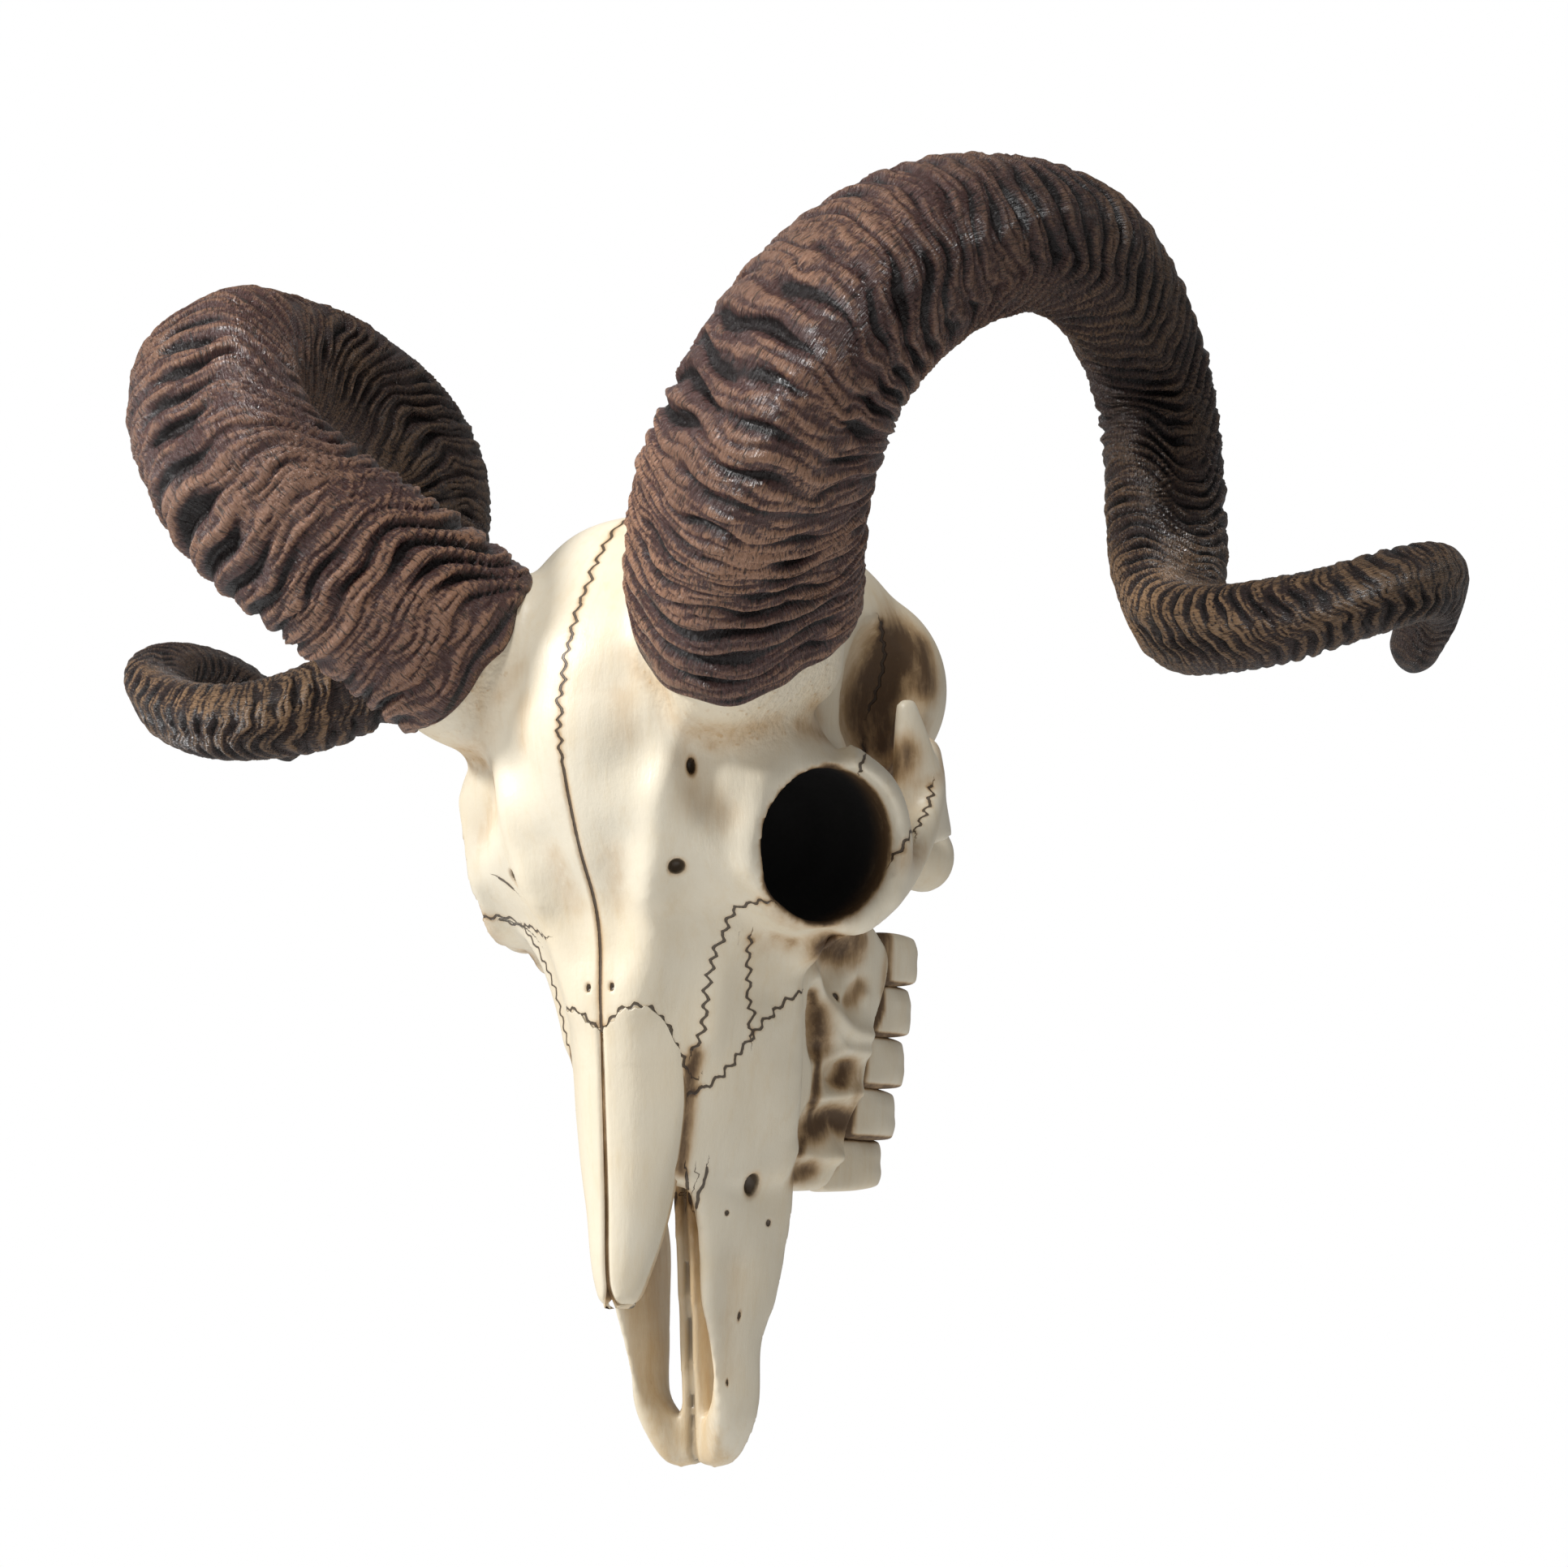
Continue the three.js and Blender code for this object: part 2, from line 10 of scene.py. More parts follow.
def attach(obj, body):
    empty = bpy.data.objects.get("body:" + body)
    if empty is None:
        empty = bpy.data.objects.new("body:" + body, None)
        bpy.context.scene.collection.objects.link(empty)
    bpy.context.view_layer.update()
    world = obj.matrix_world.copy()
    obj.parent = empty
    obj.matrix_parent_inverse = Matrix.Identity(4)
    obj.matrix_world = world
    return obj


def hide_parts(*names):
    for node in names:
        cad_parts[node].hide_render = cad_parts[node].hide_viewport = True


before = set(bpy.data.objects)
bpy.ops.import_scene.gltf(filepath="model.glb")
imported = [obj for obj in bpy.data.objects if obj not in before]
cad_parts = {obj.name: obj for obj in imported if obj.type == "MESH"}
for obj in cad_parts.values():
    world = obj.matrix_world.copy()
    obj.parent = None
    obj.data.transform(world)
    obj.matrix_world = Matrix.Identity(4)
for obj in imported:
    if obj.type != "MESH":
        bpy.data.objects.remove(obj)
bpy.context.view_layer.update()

# Lengths are in millimetres in the sculpture's own space: x = 0 is the midline, z = 0 the height of
# the eye sockets, y = 0 lies just behind their rims, and -y is the face.
wall = {"distance": 108, "height": 48}


def toScene(points):
    return (np.asarray(points, float) - [0, wall["distance"], wall["height"]]) / 1000


# The camera's place is in the sculpture's own space too. Its focal length and frame are in pixels.
view = {
    "azimuth": math.radians(33.7), "elevation": math.radians(-6.6), "at": (875.4, -1244.5, -164.8),
    "focal": 6120, "width": 1932, "height": 1931, "sensor": 36, "clipEnd": 20,
}


def makeCamera():
    azimuth, flat = view["azimuth"], math.cos(view["elevation"])
    back = np.array([math.sin(azimuth) * flat, -math.cos(azimuth) * flat, math.sin(view["elevation"])])
    right = np.array([math.cos(azimuth), math.sin(azimuth), 0])
    up = np.cross(back, right)
    data = bpy.data.cameras.new("camera")
    data.sensor_width = view["sensor"]
    data.lens = view["sensor"] * view["focal"] / view["width"]
    data.clip_end = view["clipEnd"]
    camera = bpy.data.objects.new("camera", data)
    facing = Matrix(np.stack([right, up, back], axis=1).tolist()).to_4x4()
    camera.matrix_world = Matrix.Translation(Vector(toScene(view["at"]))) @ facing
    bpy.context.scene.collection.objects.link(camera)
    bpy.context.scene.camera = camera
    return right, up, back


right, up, back = makeCamera()


def rayThrough(pixel):
    x = (pixel[0] - view["width"] / 2) / view["focal"]
    y = (view["height"] / 2 - pixel[1]) / view["focal"]
    return x * right + y * up - back


print("camera placed")


# A smooth curve through rows of place and value.
def through(keys):
    keys = np.array(keys, float)
    where, what = keys[:, 0], keys[:, 1]
    last = len(keys) - 1
    ahead = np.minimum(np.arange(last + 1) + 1, last)
    behind = np.maximum(np.arange(last + 1) - 1, 0)
    slope = (what[ahead] - what[behind]) / (where[ahead] - where[behind])

    def value(position):
        position = np.asarray(position, float)
        i = np.clip(np.searchsorted(where, position) - 1, 0, last - 1)
        span = where[i + 1] - where[i]
        s = np.clip((position - where[i]) / span, 0, 1)
        start = what[i] * (1 + 2 * s) * (1 - s) ** 2 + span * slope[i] * s * (1 - s) ** 2
        return start + what[i + 1] * s * s * (3 - 2 * s) + span * slope[i + 1] * s * s * (s - 1)

    return value


def smoothStep(low, high, value):
    s = np.clip((value - low) / (high - low), 0, 1)
    return s * s * (3 - 2 * s)


def hill(distance, reach):
    return np.exp(-0.5 * (distance / reach) ** 2)


def splinePoints(points, steps):
    points = np.asarray(points, float)
    padded = np.vstack([2 * points[0] - points[1], points, 2 * points[-1] - points[-2]])
    s = np.linspace(0, 1, steps, endpoint=False)[:, None]
    made = []
    for i in range(len(points) - 1):
        p0, p1, p2, p3 = padded[i:i + 4]
        gaps = [max(np.linalg.norm(b - a) ** 0.5, 1e-4) for a, b in ((p0, p1), (p1, p2), (p2, p3))]
        first = ((p1 - p0) / gaps[0] - (p2 - p0) / (gaps[0] + gaps[1]) + (p2 - p1) / gaps[1]) * gaps[1]
        second = ((p2 - p1) / gaps[1] - (p3 - p1) / (gaps[1] + gaps[2]) + (p3 - p2) / gaps[2]) * gaps[1]
        cubic = 2 * p1 - 2 * p2 + first + second
        made.append(p1 + first * s + (3 * p2 - 3 * p1 - 2 * first - second) * s ** 2 + cubic * s ** 3)
    return np.vstack(made + [points[-1:]])


def respaced(points, count):
    lengths = np.r_[0, np.cumsum(np.linalg.norm(np.diff(points, axis=0), axis=1))]
    wanted = np.linspace(0, lengths[-1], count + 1)
    return np.stack([np.interp(wanted, lengths, points[:, k]) for k in range(3)], axis=1), lengths[-1]


def framesAlong(points):
    tangents = np.gradient(points, axis=0)
    tangents /= np.linalg.norm(tangents, axis=1)[:, None]
    sides = np.zeros_like(points)
    side = np.array([0, -1.0, 0])
    for i, tangent in enumerate(tangents):
        side = side - tangent * (side @ tangent)
        side /= np.linalg.norm(side)
        sides[i] = side
    return tangents, sides, np.cross(tangents, sides)


# Smooth noise from a few dozen sine waves, repeating round a full turn of its second value.
class Waves:
    def __init__(self, seed, count, along, around):
        random = np.random.default_rng(seed)
        self.along = random.uniform(along[0], along[1], count) * random.choice([-1, 1], count)
        self.around = random.integers(around[0], around[1] + 1, count)
        self.phase = random.uniform(0, 2 * math.pi, count)

    def at(self, s, angle):
        total = 0
        for k, m, p in zip(self.along, self.around, self.phase):
            total = total + np.sin(k * s + m * angle + p)
        return total / math.sqrt(len(self.phase))


# A wave made fuller or leaner by a power, with its sign kept.
def bulged(wave, power):
    return np.sign(wave) * np.abs(wave) ** power


def degreesFrom(middle, angle):
    return (np.degrees(angle) - middle + 180) % 360 - 180


def readPoints(mesh):
    values = np.empty(len(mesh.vertices) * 3, np.float32)
    mesh.vertices.foreach_get("co", values)
    return values.reshape(-1, 3).astype(float)


def readNormals(mesh):
    values = np.empty(len(mesh.vertices) * 3, np.float32)
    mesh.vertex_normals.foreach_get("vector", values)
    return values.reshape(-1, 3).astype(float)


def writePoints(mesh, points):
    mesh.vertices.foreach_set("co", np.asarray(points, np.float32).ravel())
    mesh.update()


def readEdges(mesh):
    values = np.empty(len(mesh.edges) * 2, np.int32)
    mesh.edges.foreach_get("vertices", values)
    return values.reshape(-1, 2)


def writeValues(mesh, name, values):
    layer = mesh.attributes.get(name) or mesh.attributes.new(name, "FLOAT", "POINT")
    layer.data.foreach_set("value", np.asarray(values, np.float32))


# A closed tube or ball: shape gives the point at each share along it and round it.
def skin(along, around, shape):
    bm = bmesh.new()
    bm.loops.layers.uv.new("UVMap")
    bmesh.ops.create_grid(bm, x_segments=around, y_segments=along, size=0.5, calc_uvs=True)
    mesh = bpy.data.meshes.new("skin")
    bm.to_mesh(mesh)
    grid = readPoints(mesh)
    turn, length = grid[:, 0] + 0.5, grid[:, 1] + 0.5
    points, values = shape(length, turn)
    for end in (0, 1):
        row = np.abs(length - end) < 0.25 / along
        points[row] = points[row].mean(axis=0)
    writePoints(mesh, points)
    for name, value in values.items():
        writeValues(mesh, name, value)
    bm.clear()
    bm.from_mesh(mesh)
    bmesh.ops.remove_doubles(bm, verts=bm.verts, dist=1e-3)
    bmesh.ops.recalc_face_normals(bm, faces=bm.faces)
    bm.to_mesh(mesh)
    bm.free()
    return mesh


def mirrored(mesh):
    bm = bmesh.new()
    bm.from_mesh(mesh)
    bmesh.ops.scale(bm, vec=(-1, 1, 1), verts=bm.verts)
    bmesh.ops.reverse_faces(bm, faces=bm.faces)
    made = bpy.data.meshes.new("mirrored")
    bm.to_mesh(made)
    bm.free()
    return made


def joined(meshes):
    bm = bmesh.new()
    for mesh in meshes:
        bm.from_mesh(mesh)
    made = bpy.data.meshes.new("joined")
    bm.to_mesh(made)
    bm.free()
    return made


def bothSides(meshes):
    return meshes + [mirrored(mesh) for mesh in meshes]


def withModifier(mesh, kind, **settings):
    host = bpy.data.objects.new("host", mesh)
    bpy.context.scene.collection.objects.link(host)
    modifier = host.modifiers.new("step", kind)
    for name, value in settings.items():
        setattr(modifier, name, value)
    bpy.context.view_layer.update()
    made = bpy.data.meshes.new_from_object(host.evaluated_get(bpy.context.evaluated_depsgraph_get()))
    bpy.data.objects.remove(host)
    return made


def voxelUnion(meshes, voxel):
    return withModifier(joined(meshes), "REMESH", mode="VOXEL", voxel_size=voxel)


def carved(mesh, tools):
    host = bpy.data.objects.new("tool", joined(tools))
    bpy.context.scene.collection.objects.link(host)
    made = withModifier(mesh, "BOOLEAN", operation="DIFFERENCE", solver="MANIFOLD", object=host)
    bpy.data.objects.remove(host)
    return made


def neighbourMean(points, edges, counts):
    total = np.zeros_like(points)
    for k in range(points.shape[1]):
        total[:, k] = np.bincount(edges[:, 0], points[edges[:, 1], k], len(points))
        total[:, k] += np.bincount(edges[:, 1], points[edges[:, 0], k], len(points))
    return total / counts[:, None]


def edgeCounts(edges, count):
    return np.maximum(np.bincount(edges.ravel(), minlength=count), 1)


# Evens a mesh out. Creases fill up more than ridges wear down.
def relax(mesh, passes, fill=0.6, wear=0.2):
    points, edges = readPoints(mesh), readEdges(mesh)
    counts = edgeCounts(edges, len(points))
    for _ in range(passes):
        writePoints(mesh, points)
        normals = readNormals(mesh)
        step = neighbourMean(points, edges, counts) - points
        lift = (step * normals).sum(axis=1, keepdims=True)
        strength = np.where(lift > 0, fill, wear)
        points = points + lift * normals * strength + (step - lift * normals) * 0.5
    writePoints(mesh, points)


def spread(values, edges, passes):
    column = np.asarray(values, float)[:, None]
    counts = edgeCounts(edges, len(column))
    for _ in range(passes):
        column = 0.5 * column + 0.5 * neighbourMean(column, edges, counts)
    return column[:, 0]


def segmentDistance(points, path, reach):
    path = np.asarray(path, float)
    best = np.full(len(points), 1e6)
    near = ((points > path.min(axis=0) - reach) & (points < path.max(axis=0) + reach)).all(axis=1)
    some = points[near]
    least = np.full(len(some), 1e6)
    for a, b in zip(path[:-1], path[1:]):
        run = b - a
        t = np.clip((some - a) @ run / max(run @ run, 1e-9), 0, 1)
        least = np.minimum(least, np.linalg.norm(some - a - t[:, None] * run, axis=1))
    best[near] = least
    return best


def finishPiece(name, mesh, material, slot, *nodes):
    writePoints(mesh, toScene(readPoints(mesh)))
    mesh.name = name
    mesh.shade_smooth()
    piece = bpy.data.objects.new(name, mesh)
    bpy.context.scene.collection.objects.link(piece)
    mesh.materials.clear()
    mesh.materials.append(material)
    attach(piece, "root")
    if nodes:
        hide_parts(*nodes)
    print(name, len(mesh.vertices), "vertices")
    return piece


# A number or colour that varies over a surface, with the usual arithmetic.
class Field:
    def __init__(self, tree, socket):
        self.tree, self.socket = tree, socket

    def node(self, kind, inputs=(), output=0, **settings):
        made = self.tree.nodes.new(kind)
        for name, value in settings.items():
            setattr(made, name, value)
        for key, value in dict(inputs).items():
            if isinstance(value, Field):
                self.tree.links.new(value.socket, made.inputs[key])
            else:
                made.inputs[key].default_value = value
        return Field(self.tree, made.outputs[output])

    def math(self, operation, other=0.0, swap=False):
        pair = {0: other, 1: self} if swap else {0: self, 1: other}
        return self.node("ShaderNodeMath", pair, operation=operation)

    def __add__(self, other):
        return self.math("ADD", other)

    def __sub__(self, other):
        return self.math("SUBTRACT", other)

    def __mul__(self, other):
        return self.math("MULTIPLY", other)

    def __rsub__(self, other):
        return self.math("SUBTRACT", other, swap=True)

    __radd__, __rmul__ = __add__, __mul__

    def step(self, low, high):
        inputs = {"Value": self, "From Min": low, "From Max": high}
        return self.node("ShaderNodeMapRange", inputs, interpolation_type="SMOOTHSTEP")

    def mix(self, first, second):
        inputs = {"Factor": self, 6: first, 7: second}
        return self.node("ShaderNodeMix", inputs, output=2, data_type="RGBA")


def newMaterial(name):
    material = bpy.data.materials.new(name)
    material.use_nodes = True
    tree = material.node_tree
    shader = tree.nodes["Principled BSDF"]
    return material, shader, Field(tree, None)


def attribute(field, name):
    return field.node("ShaderNodeAttribute", output="Fac", attribute_name=name)


def objectPlace(field, scale=(1, 1, 1)):
    place = field.node("ShaderNodeTexCoord", output="Object")
    return field.node("ShaderNodeMapping", {"Vector": place, "Scale": scale})


def noise(field, vector, scale, detail=3.0, rough=0.5, distortion=0.0):
    inputs = {"Vector": vector, "Scale": scale, "Detail": detail, "Roughness": rough,
              "Distortion": distortion}
    return field.node("ShaderNodeTexNoise", inputs)


def lineNoise(field, place):
    inputs = {"W": place, "Scale": 1.0, "Detail": 1.0}
    return field.node("ShaderNodeTexNoise", inputs, noise_dimensions="1D")


def setBump(field, shader, height, distance):
    inputs = {"Height": height, "Distance": distance, "Strength": 1.0}
    bump = field.node("ShaderNodeBump", inputs, output="Normal")
    field.tree.links.new(bump.socket, shader.inputs["Normal"])


def rgb(red, green, blue):
    return (red, green, blue, 1)


# Colours, then the scale, detail and roughness of each noise.
boneLook = {
    "pale": rgb(0.80, 0.725, 0.575), "warm": rgb(0.72, 0.58, 0.37), "washAndShade": rgb(0.075, 0.037, 0.013),
    "stain": rgb(0.48, 0.29, 0.12), "tan": rgb(0.60, 0.42, 0.21), "ink": rgb(0.04, 0.024, 0.013),
    "socket": rgb(0.004, 0.003, 0.0025),
    "mottle": (28, 4, 0.6), "fine": (260, 4, 0.65), "brushed": (240, 5, 0.7), "blotch": (11, 3, 0.55),
    "specks": (420, 2, 0.5), "strokes": (1, 1, 0.16), "bump": 0.0004,
}


def seamMask(field, name):
    place = field.node("ShaderNodeAttribute", output="Vector", attribute_name=name)
    off, run, swing = (
        field.node("ShaderNodeSeparateXYZ", {"Vector": place}, output=axis) for axis in "XYZ")
    wander = lineNoise(field, run * 0.21)
    jag = lineNoise(field, run * 0.55 + 30)
    wave = (run * 1.35 + wander * 3).math("SINE")
    swung = off - swing * (wave * (0.2 + jag) + (wander - 0.5) * 1.6)
    distance = swung.math("ABSOLUTE")
    near = attribute(field, name + "Near")
    breadth = 0.20 + 0.22 * jag
    line = (1 - (distance - breadth).step(0.0, 0.3)) * near
    halo = (1 - distance.step(0.2, 2.2)) * near
    return line, halo


def makeBone():
    material, shader, field = newMaterial("bone")
    place = objectPlace(field)
    mottle, fine, blotch, specks = (
        noise(field, place, *boneLook[name]) for name in ("mottle", "fine", "blotch", "specks"))
    brushed = noise(field, objectPlace(field, boneLook["strokes"]), *boneLook["brushed"])
    washAndShade, tan, pit = (attribute(field, name) for name in ("washAndShade", "tan", "pit"))
    ink, socket, stipple, groove = (
        attribute(field, name) for name in ("ink", "socket", "stipple", "groove"))
    lineA, haloA = seamMask(field, "seamA")
    lineB, haloB = seamMask(field, "seamB")
    hole = 1 - pit.step(0.8, 1.1)
    holeHalo = 1 - pit.step(0.9, 1.9)
    tint = mottle.step(0.42, 0.75) * 0.35 + brushed.step(0.45, 0.75) * 0.3 + blotch.step(0.4, 0.7) * 0.35
    base = tint.mix(boneLook["pale"], boneLook["warm"])
    tanning = (tan * (0.55 + 0.6 * brushed.step(0.35, 0.65))).math("MINIMUM", 1.0)
    tanned = tanning.mix(base, boneLook["tan"])
    # The dark brown carries the antique wash in the hollows and also painted shade, on the teeth and under
    # the nose bones.
    shade = (washAndShade + holeHalo * 0.4 + haloA * 0.28 + haloB * 0.28).math("MINIMUM", 1.0)
    uneven = (mottle - 0.5) * 0.7 + (brushed - 0.5) * 0.9
    streaks = (shade * (1 + uneven * 1.2) - fine.step(0.5, 0.75) * 0.08).math("MAXIMUM", 0.0)
    stained = (streaks.step(0.0, 0.7) * 0.85).mix(tanned, boneLook["stain"])
    washed = (streaks.step(0.35, 1.0) * 0.95).mix(stained, boneLook["washAndShade"])
    speckles = stipple * specks.step(0.6, 0.72)
    speckled = (speckles * 0.5 + stipple * 0.12).mix(washed, boneLook["stain"])
    drawn = (ink + lineA + lineB + hole + groove * 0.8).math("MINIMUM", 1.0)
    inked = (drawn * 0.9).mix(speckled, boneLook["ink"])
    final = socket.mix(inked, boneLook["socket"])
    field.tree.links.new(final.socket, shader.inputs["Base Color"])
    roughness = 0.34 + 0.16 * mottle.step(0.3, 0.7) + 0.2 * washAndShade + 0.25 * stipple + 0.3 * socket
    field.tree.links.new(roughness.math("MINIMUM", 0.9).socket, shader.inputs["Roughness"])
    relief = fine * 0.35 + brushed * 0.5 + stipple * specks * 2.2 - drawn * 1.6
    setBump(field, shader, relief, boneLook["bump"])
    return material


# Each grain has its stretch over the horn, then the scale, detail, roughness and distortion of its noise.
hornLook = {
    "body": rgb(0.092, 0.043, 0.037), "bodyTip": rgb(0.042, 0.026, 0.022),
    "crest": rgb(0.41, 0.22, 0.135), "crestTip": rgb(0.44, 0.262, 0.138),
    # The groove colour carries painted shade as well as dark paint.
    "groove": rgb(0.010, 0.007, 0.007),
    "strands": ((46, 26, 1), (4.6, 4, 0.6, 0.4)), "flecks": ((9, 22, 1), (9, 5, 0.7, 0.6)),
    "cloud": (32, 3, 0.6), "bump": 0.0016,
}


def hornGrain(field, name):
    stretch, settings = hornLook[name]
    uv = field.node("ShaderNodeTexCoord", output="UV")
    return noise(field, field.node("ShaderNodeMapping", {"Vector": uv, "Scale": stretch}), *settings)


def makeHornMaterial():
    material, shader, field = newMaterial("horn")
    crest, groove, share, brush = (
        attribute(field, name) for name in ("crest", "groove", "share", "brush"))
    strands, flecks = hornGrain(field, "strands"), hornGrain(field, "flecks")
    cloud = noise(field, objectPlace(field), *hornLook["cloud"])
    late = share.step(0.22, 0.55)
    darkening = (late * 0.85 + cloud.step(0.4, 0.7) * 0.3).math("MINIMUM", 1.0)
    body = darkening.mix(hornLook["body"], hornLook["bodyTip"])
    crestColour = late.mix(hornLook["crest"], hornLook["crestTip"])
    dry = (crest + (strands - 0.5) * 1.2 + (flecks - 0.5) * 1.2 + (cloud - 0.5) * 0.8).step(0.6, 0.95)
    brushed = (dry * brush).math("MINIMUM", 0.95).mix(body, crestColour)
    # Near-black grooves: dark paint in them, deepened by painted shade on one side of the horn.
    deep = (groove + (strands - 0.5) * 0.5).step(0.22, 0.62)
    dashes = strands.step(0.56, 0.62)
    final = (deep * 0.94 + dashes * 0.78).math("MINIMUM", 0.96).mix(brushed, hornLook["groove"])
    field.tree.links.new(final.socket, shader.inputs["Base Color"])
    roughness = 0.14 + 0.26 * flecks
    field.tree.links.new(roughness.socket, shader.inputs["Roughness"])
    setBump(field, shader, flecks * 0.7 - strands * 1.3, hornLook["bump"])
    return material


plateLook = {"dark": rgb(0.62, 0.55, 0.42), "light": rgb(0.7, 0.64, 0.52), "grain": (90, 4, 0.6)}


def makePlate():
    material, shader, field = newMaterial("plate")
    grain = noise(field, objectPlace(field), *plateLook["grain"])
    colour = grain.step(0.3, 0.7).mix(plateLook["dark"], plateLook["light"])
    field.tree.links.new(colour.socket, shader.inputs["Base Color"])
    field.tree.links.new((0.5 + 0.2 * grain).socket, shader.inputs["Roughness"])
    setBump(field, shader, grain, boneLook["bump"])
    return material


boneMaterial, hornMaterial, plateMaterial = makeBone(), makeHornMaterial(), makePlate()
print("materials made")

horn = {
    "path": [
        (38, -14, 36), (52, -34, 54), (72, -61, 78), (94, -80, 101), (113, -77, 130), (129, -53, 151),
        (143, -16, 161), (145, 18, 160), (139, 59, 137), (140, 66, 112), (146, 58, 77), (160, 37, 55),
        (184, 23, 48.5), (213, 21, 50), (234, 31, 57), (238, 53, 62), (227, 75, 57), (213.5, 84, 40),
    ],
    "radius": [
        (0, 31), (0.08, 32.7), (0.18, 31), (0.25, 28.6), (0.32, 25.6), (0.385, 22), (0.45, 19.4), (0.52, 18),
        (0.66, 17.6), (0.71, 15.6), (0.78, 13.2), (0.88, 12.3), (0.95, 10.8), (0.985, 9.2), (1, 7.5),
    ],
    "lift": {
        "left": [(0.1, 0), (0.24, -2.5), (0.39, 3.5), (0.47, 0.5), (0.55, 0), (0.9, -1), (1, 0)],
        "right": [(0.1, 0), (0.2, -2.5), (0.38, -4.5), (0.55, 0), (0.79, -1.5), (0.9, 8), (0.96, 8), (1, 2)],
    },
    "samples": 120, "easing": 8, "linePoints": 1600, "start": 0.048, "lip": 0.0006, "tuck": 0.012, "inset": 3,
    "corner": 0.091, "flattening": 0.062, "flatteningTurn": math.radians(-62), "twist": math.radians(38),
    "rings": 960, "sides": 100, "tipFrom": 0.985,
    "spacing": [(0.05, 8.0), (0.3, 7.4), (0.6, 6.6), (0.8, 5.2), (1, 4.6)],
    "brushing": [(0.05, 0.85), (0.15, 0.92), (0.23, 0.64), (0.33, 0.38), (0.6, 0.22), (0.7, 0.34), (1, 0.16)],
    "keel": {
        "angle": -83, "height": 0.05, "width": 15, "hollow": -0.05, "hollowAngle": -112, "hollowWidth": 17,
    },
}
# Step of the seed, number of waves, their range along the horn and their range round it.
hornWaves = {
    "wander": (0, 14, (0.02, 0.09), (0, 3)), "flutter": (1, 20, (0.05, 0.25), (3, 11)),
    "strength": (2, 16, (0.08, 0.3), (0, 3)), "patch": (4, 12, (0.02, 0.08), (0, 3)),
    "ragged": (5, 10, (0, 0.01), (3, 12)), "fork": (7, 26, (0.05, 0.28), (2, 7)),
    "fineFork": (8, 26, (0.2, 0.9), (3, 12)), "lens": (9, 22, (0.03, 0.16), (1, 7)),
}
# How far the ridges bend towards the tip, every 30 degrees round the horn from -180, at each share.
ridgeBend = {
    0.12: (-14, -17, -15, 0, 1, 0, 2, 0, -3, -6, -9, -12),
    0.27: (-12, -14, -12, 0, 2, 1, 0, -2, -1, 3, 0, -8),
    0.45: (-8, 2, 12, 4, -2, -3, 0, 7, 16, 6, -6, -10),
    0.60: (0, 4, 6, 2, 0, 0, 0, 12, 12, 2, 0, 0),
    0.85: (3, 5, 2, 0, -2, 0, 2, 3, 2, 0, -2, 1),
}


def easedPath():
    points, _ = respaced(splinePoints(horn["path"], 40), horn["samples"])
    for _ in range(horn["easing"]):
        points[1:-1] = (points[:-2] + 2 * points[1:-1] + points[2:]) / 4
    return respaced(splinePoints(points, 20), horn["linePoints"])


hornLine, hornLength = easedPath()
hornTangents, hornSides, hornUps = framesAlong(hornLine)
hornRadiusAt = through(horn["radius"])


def lineValue(values, share):
    spot = np.linspace(0, 1, len(values))
    return np.stack([np.interp(share, spot, values[:, k]) for k in range(3)], axis=1)


def sectionScale(angle, share):
    keel = horn["keel"]
    scale = 1 + horn["corner"] * np.cos(3 * angle)
    scale = scale + horn["flattening"] * np.cos(2 * (angle - horn["flatteningTurn"]))
    sharp = keel["height"] * hill(degreesFrom(keel["angle"], angle), keel["width"])
    sharp = sharp + keel["hollow"] * hill(degreesFrom(keel["hollowAngle"], angle), keel["hollowWidth"])
    return scale + sharp * (1 - smoothStep(0.28, 0.4, share)) * smoothStep(0.04, 0.09, share)


def bendAt(angle, share):
    shares = sorted(ridgeBend)
    spots = np.radians(np.arange(-180, 181, 30))
    wrapped = (angle + math.pi) % (2 * math.pi) - math.pi
    rows = [through(list(zip(spots, ridgeBend[s] + ridgeBend[s][:1])))(wrapped) for s in shares]
    total = np.zeros_like(share)
    for i in range(len(shares) - 1):
        t = smoothStep(shares[i], shares[i + 1], share)
        total += (rows[i + 1] - rows[i]) * t
    return rows[0] + total


def tubePoints(share, angle, radius, lift):
    centre = lineValue(hornLine, share)
    centre[:, 2] += lift(share)
    out = lineValue(hornSides, share) * np.cos(angle + horn["twist"])[:, None]
    out += lineValue(hornUps, share) * np.sin(angle + horn["twist"])[:, None]
    return centre + out * radius[:, None]


def hornNoise(name, seed, s, angle):
    step, count, along, around = hornWaves[name]
    return Waves(seed + step, count, along, around).at(s, angle)


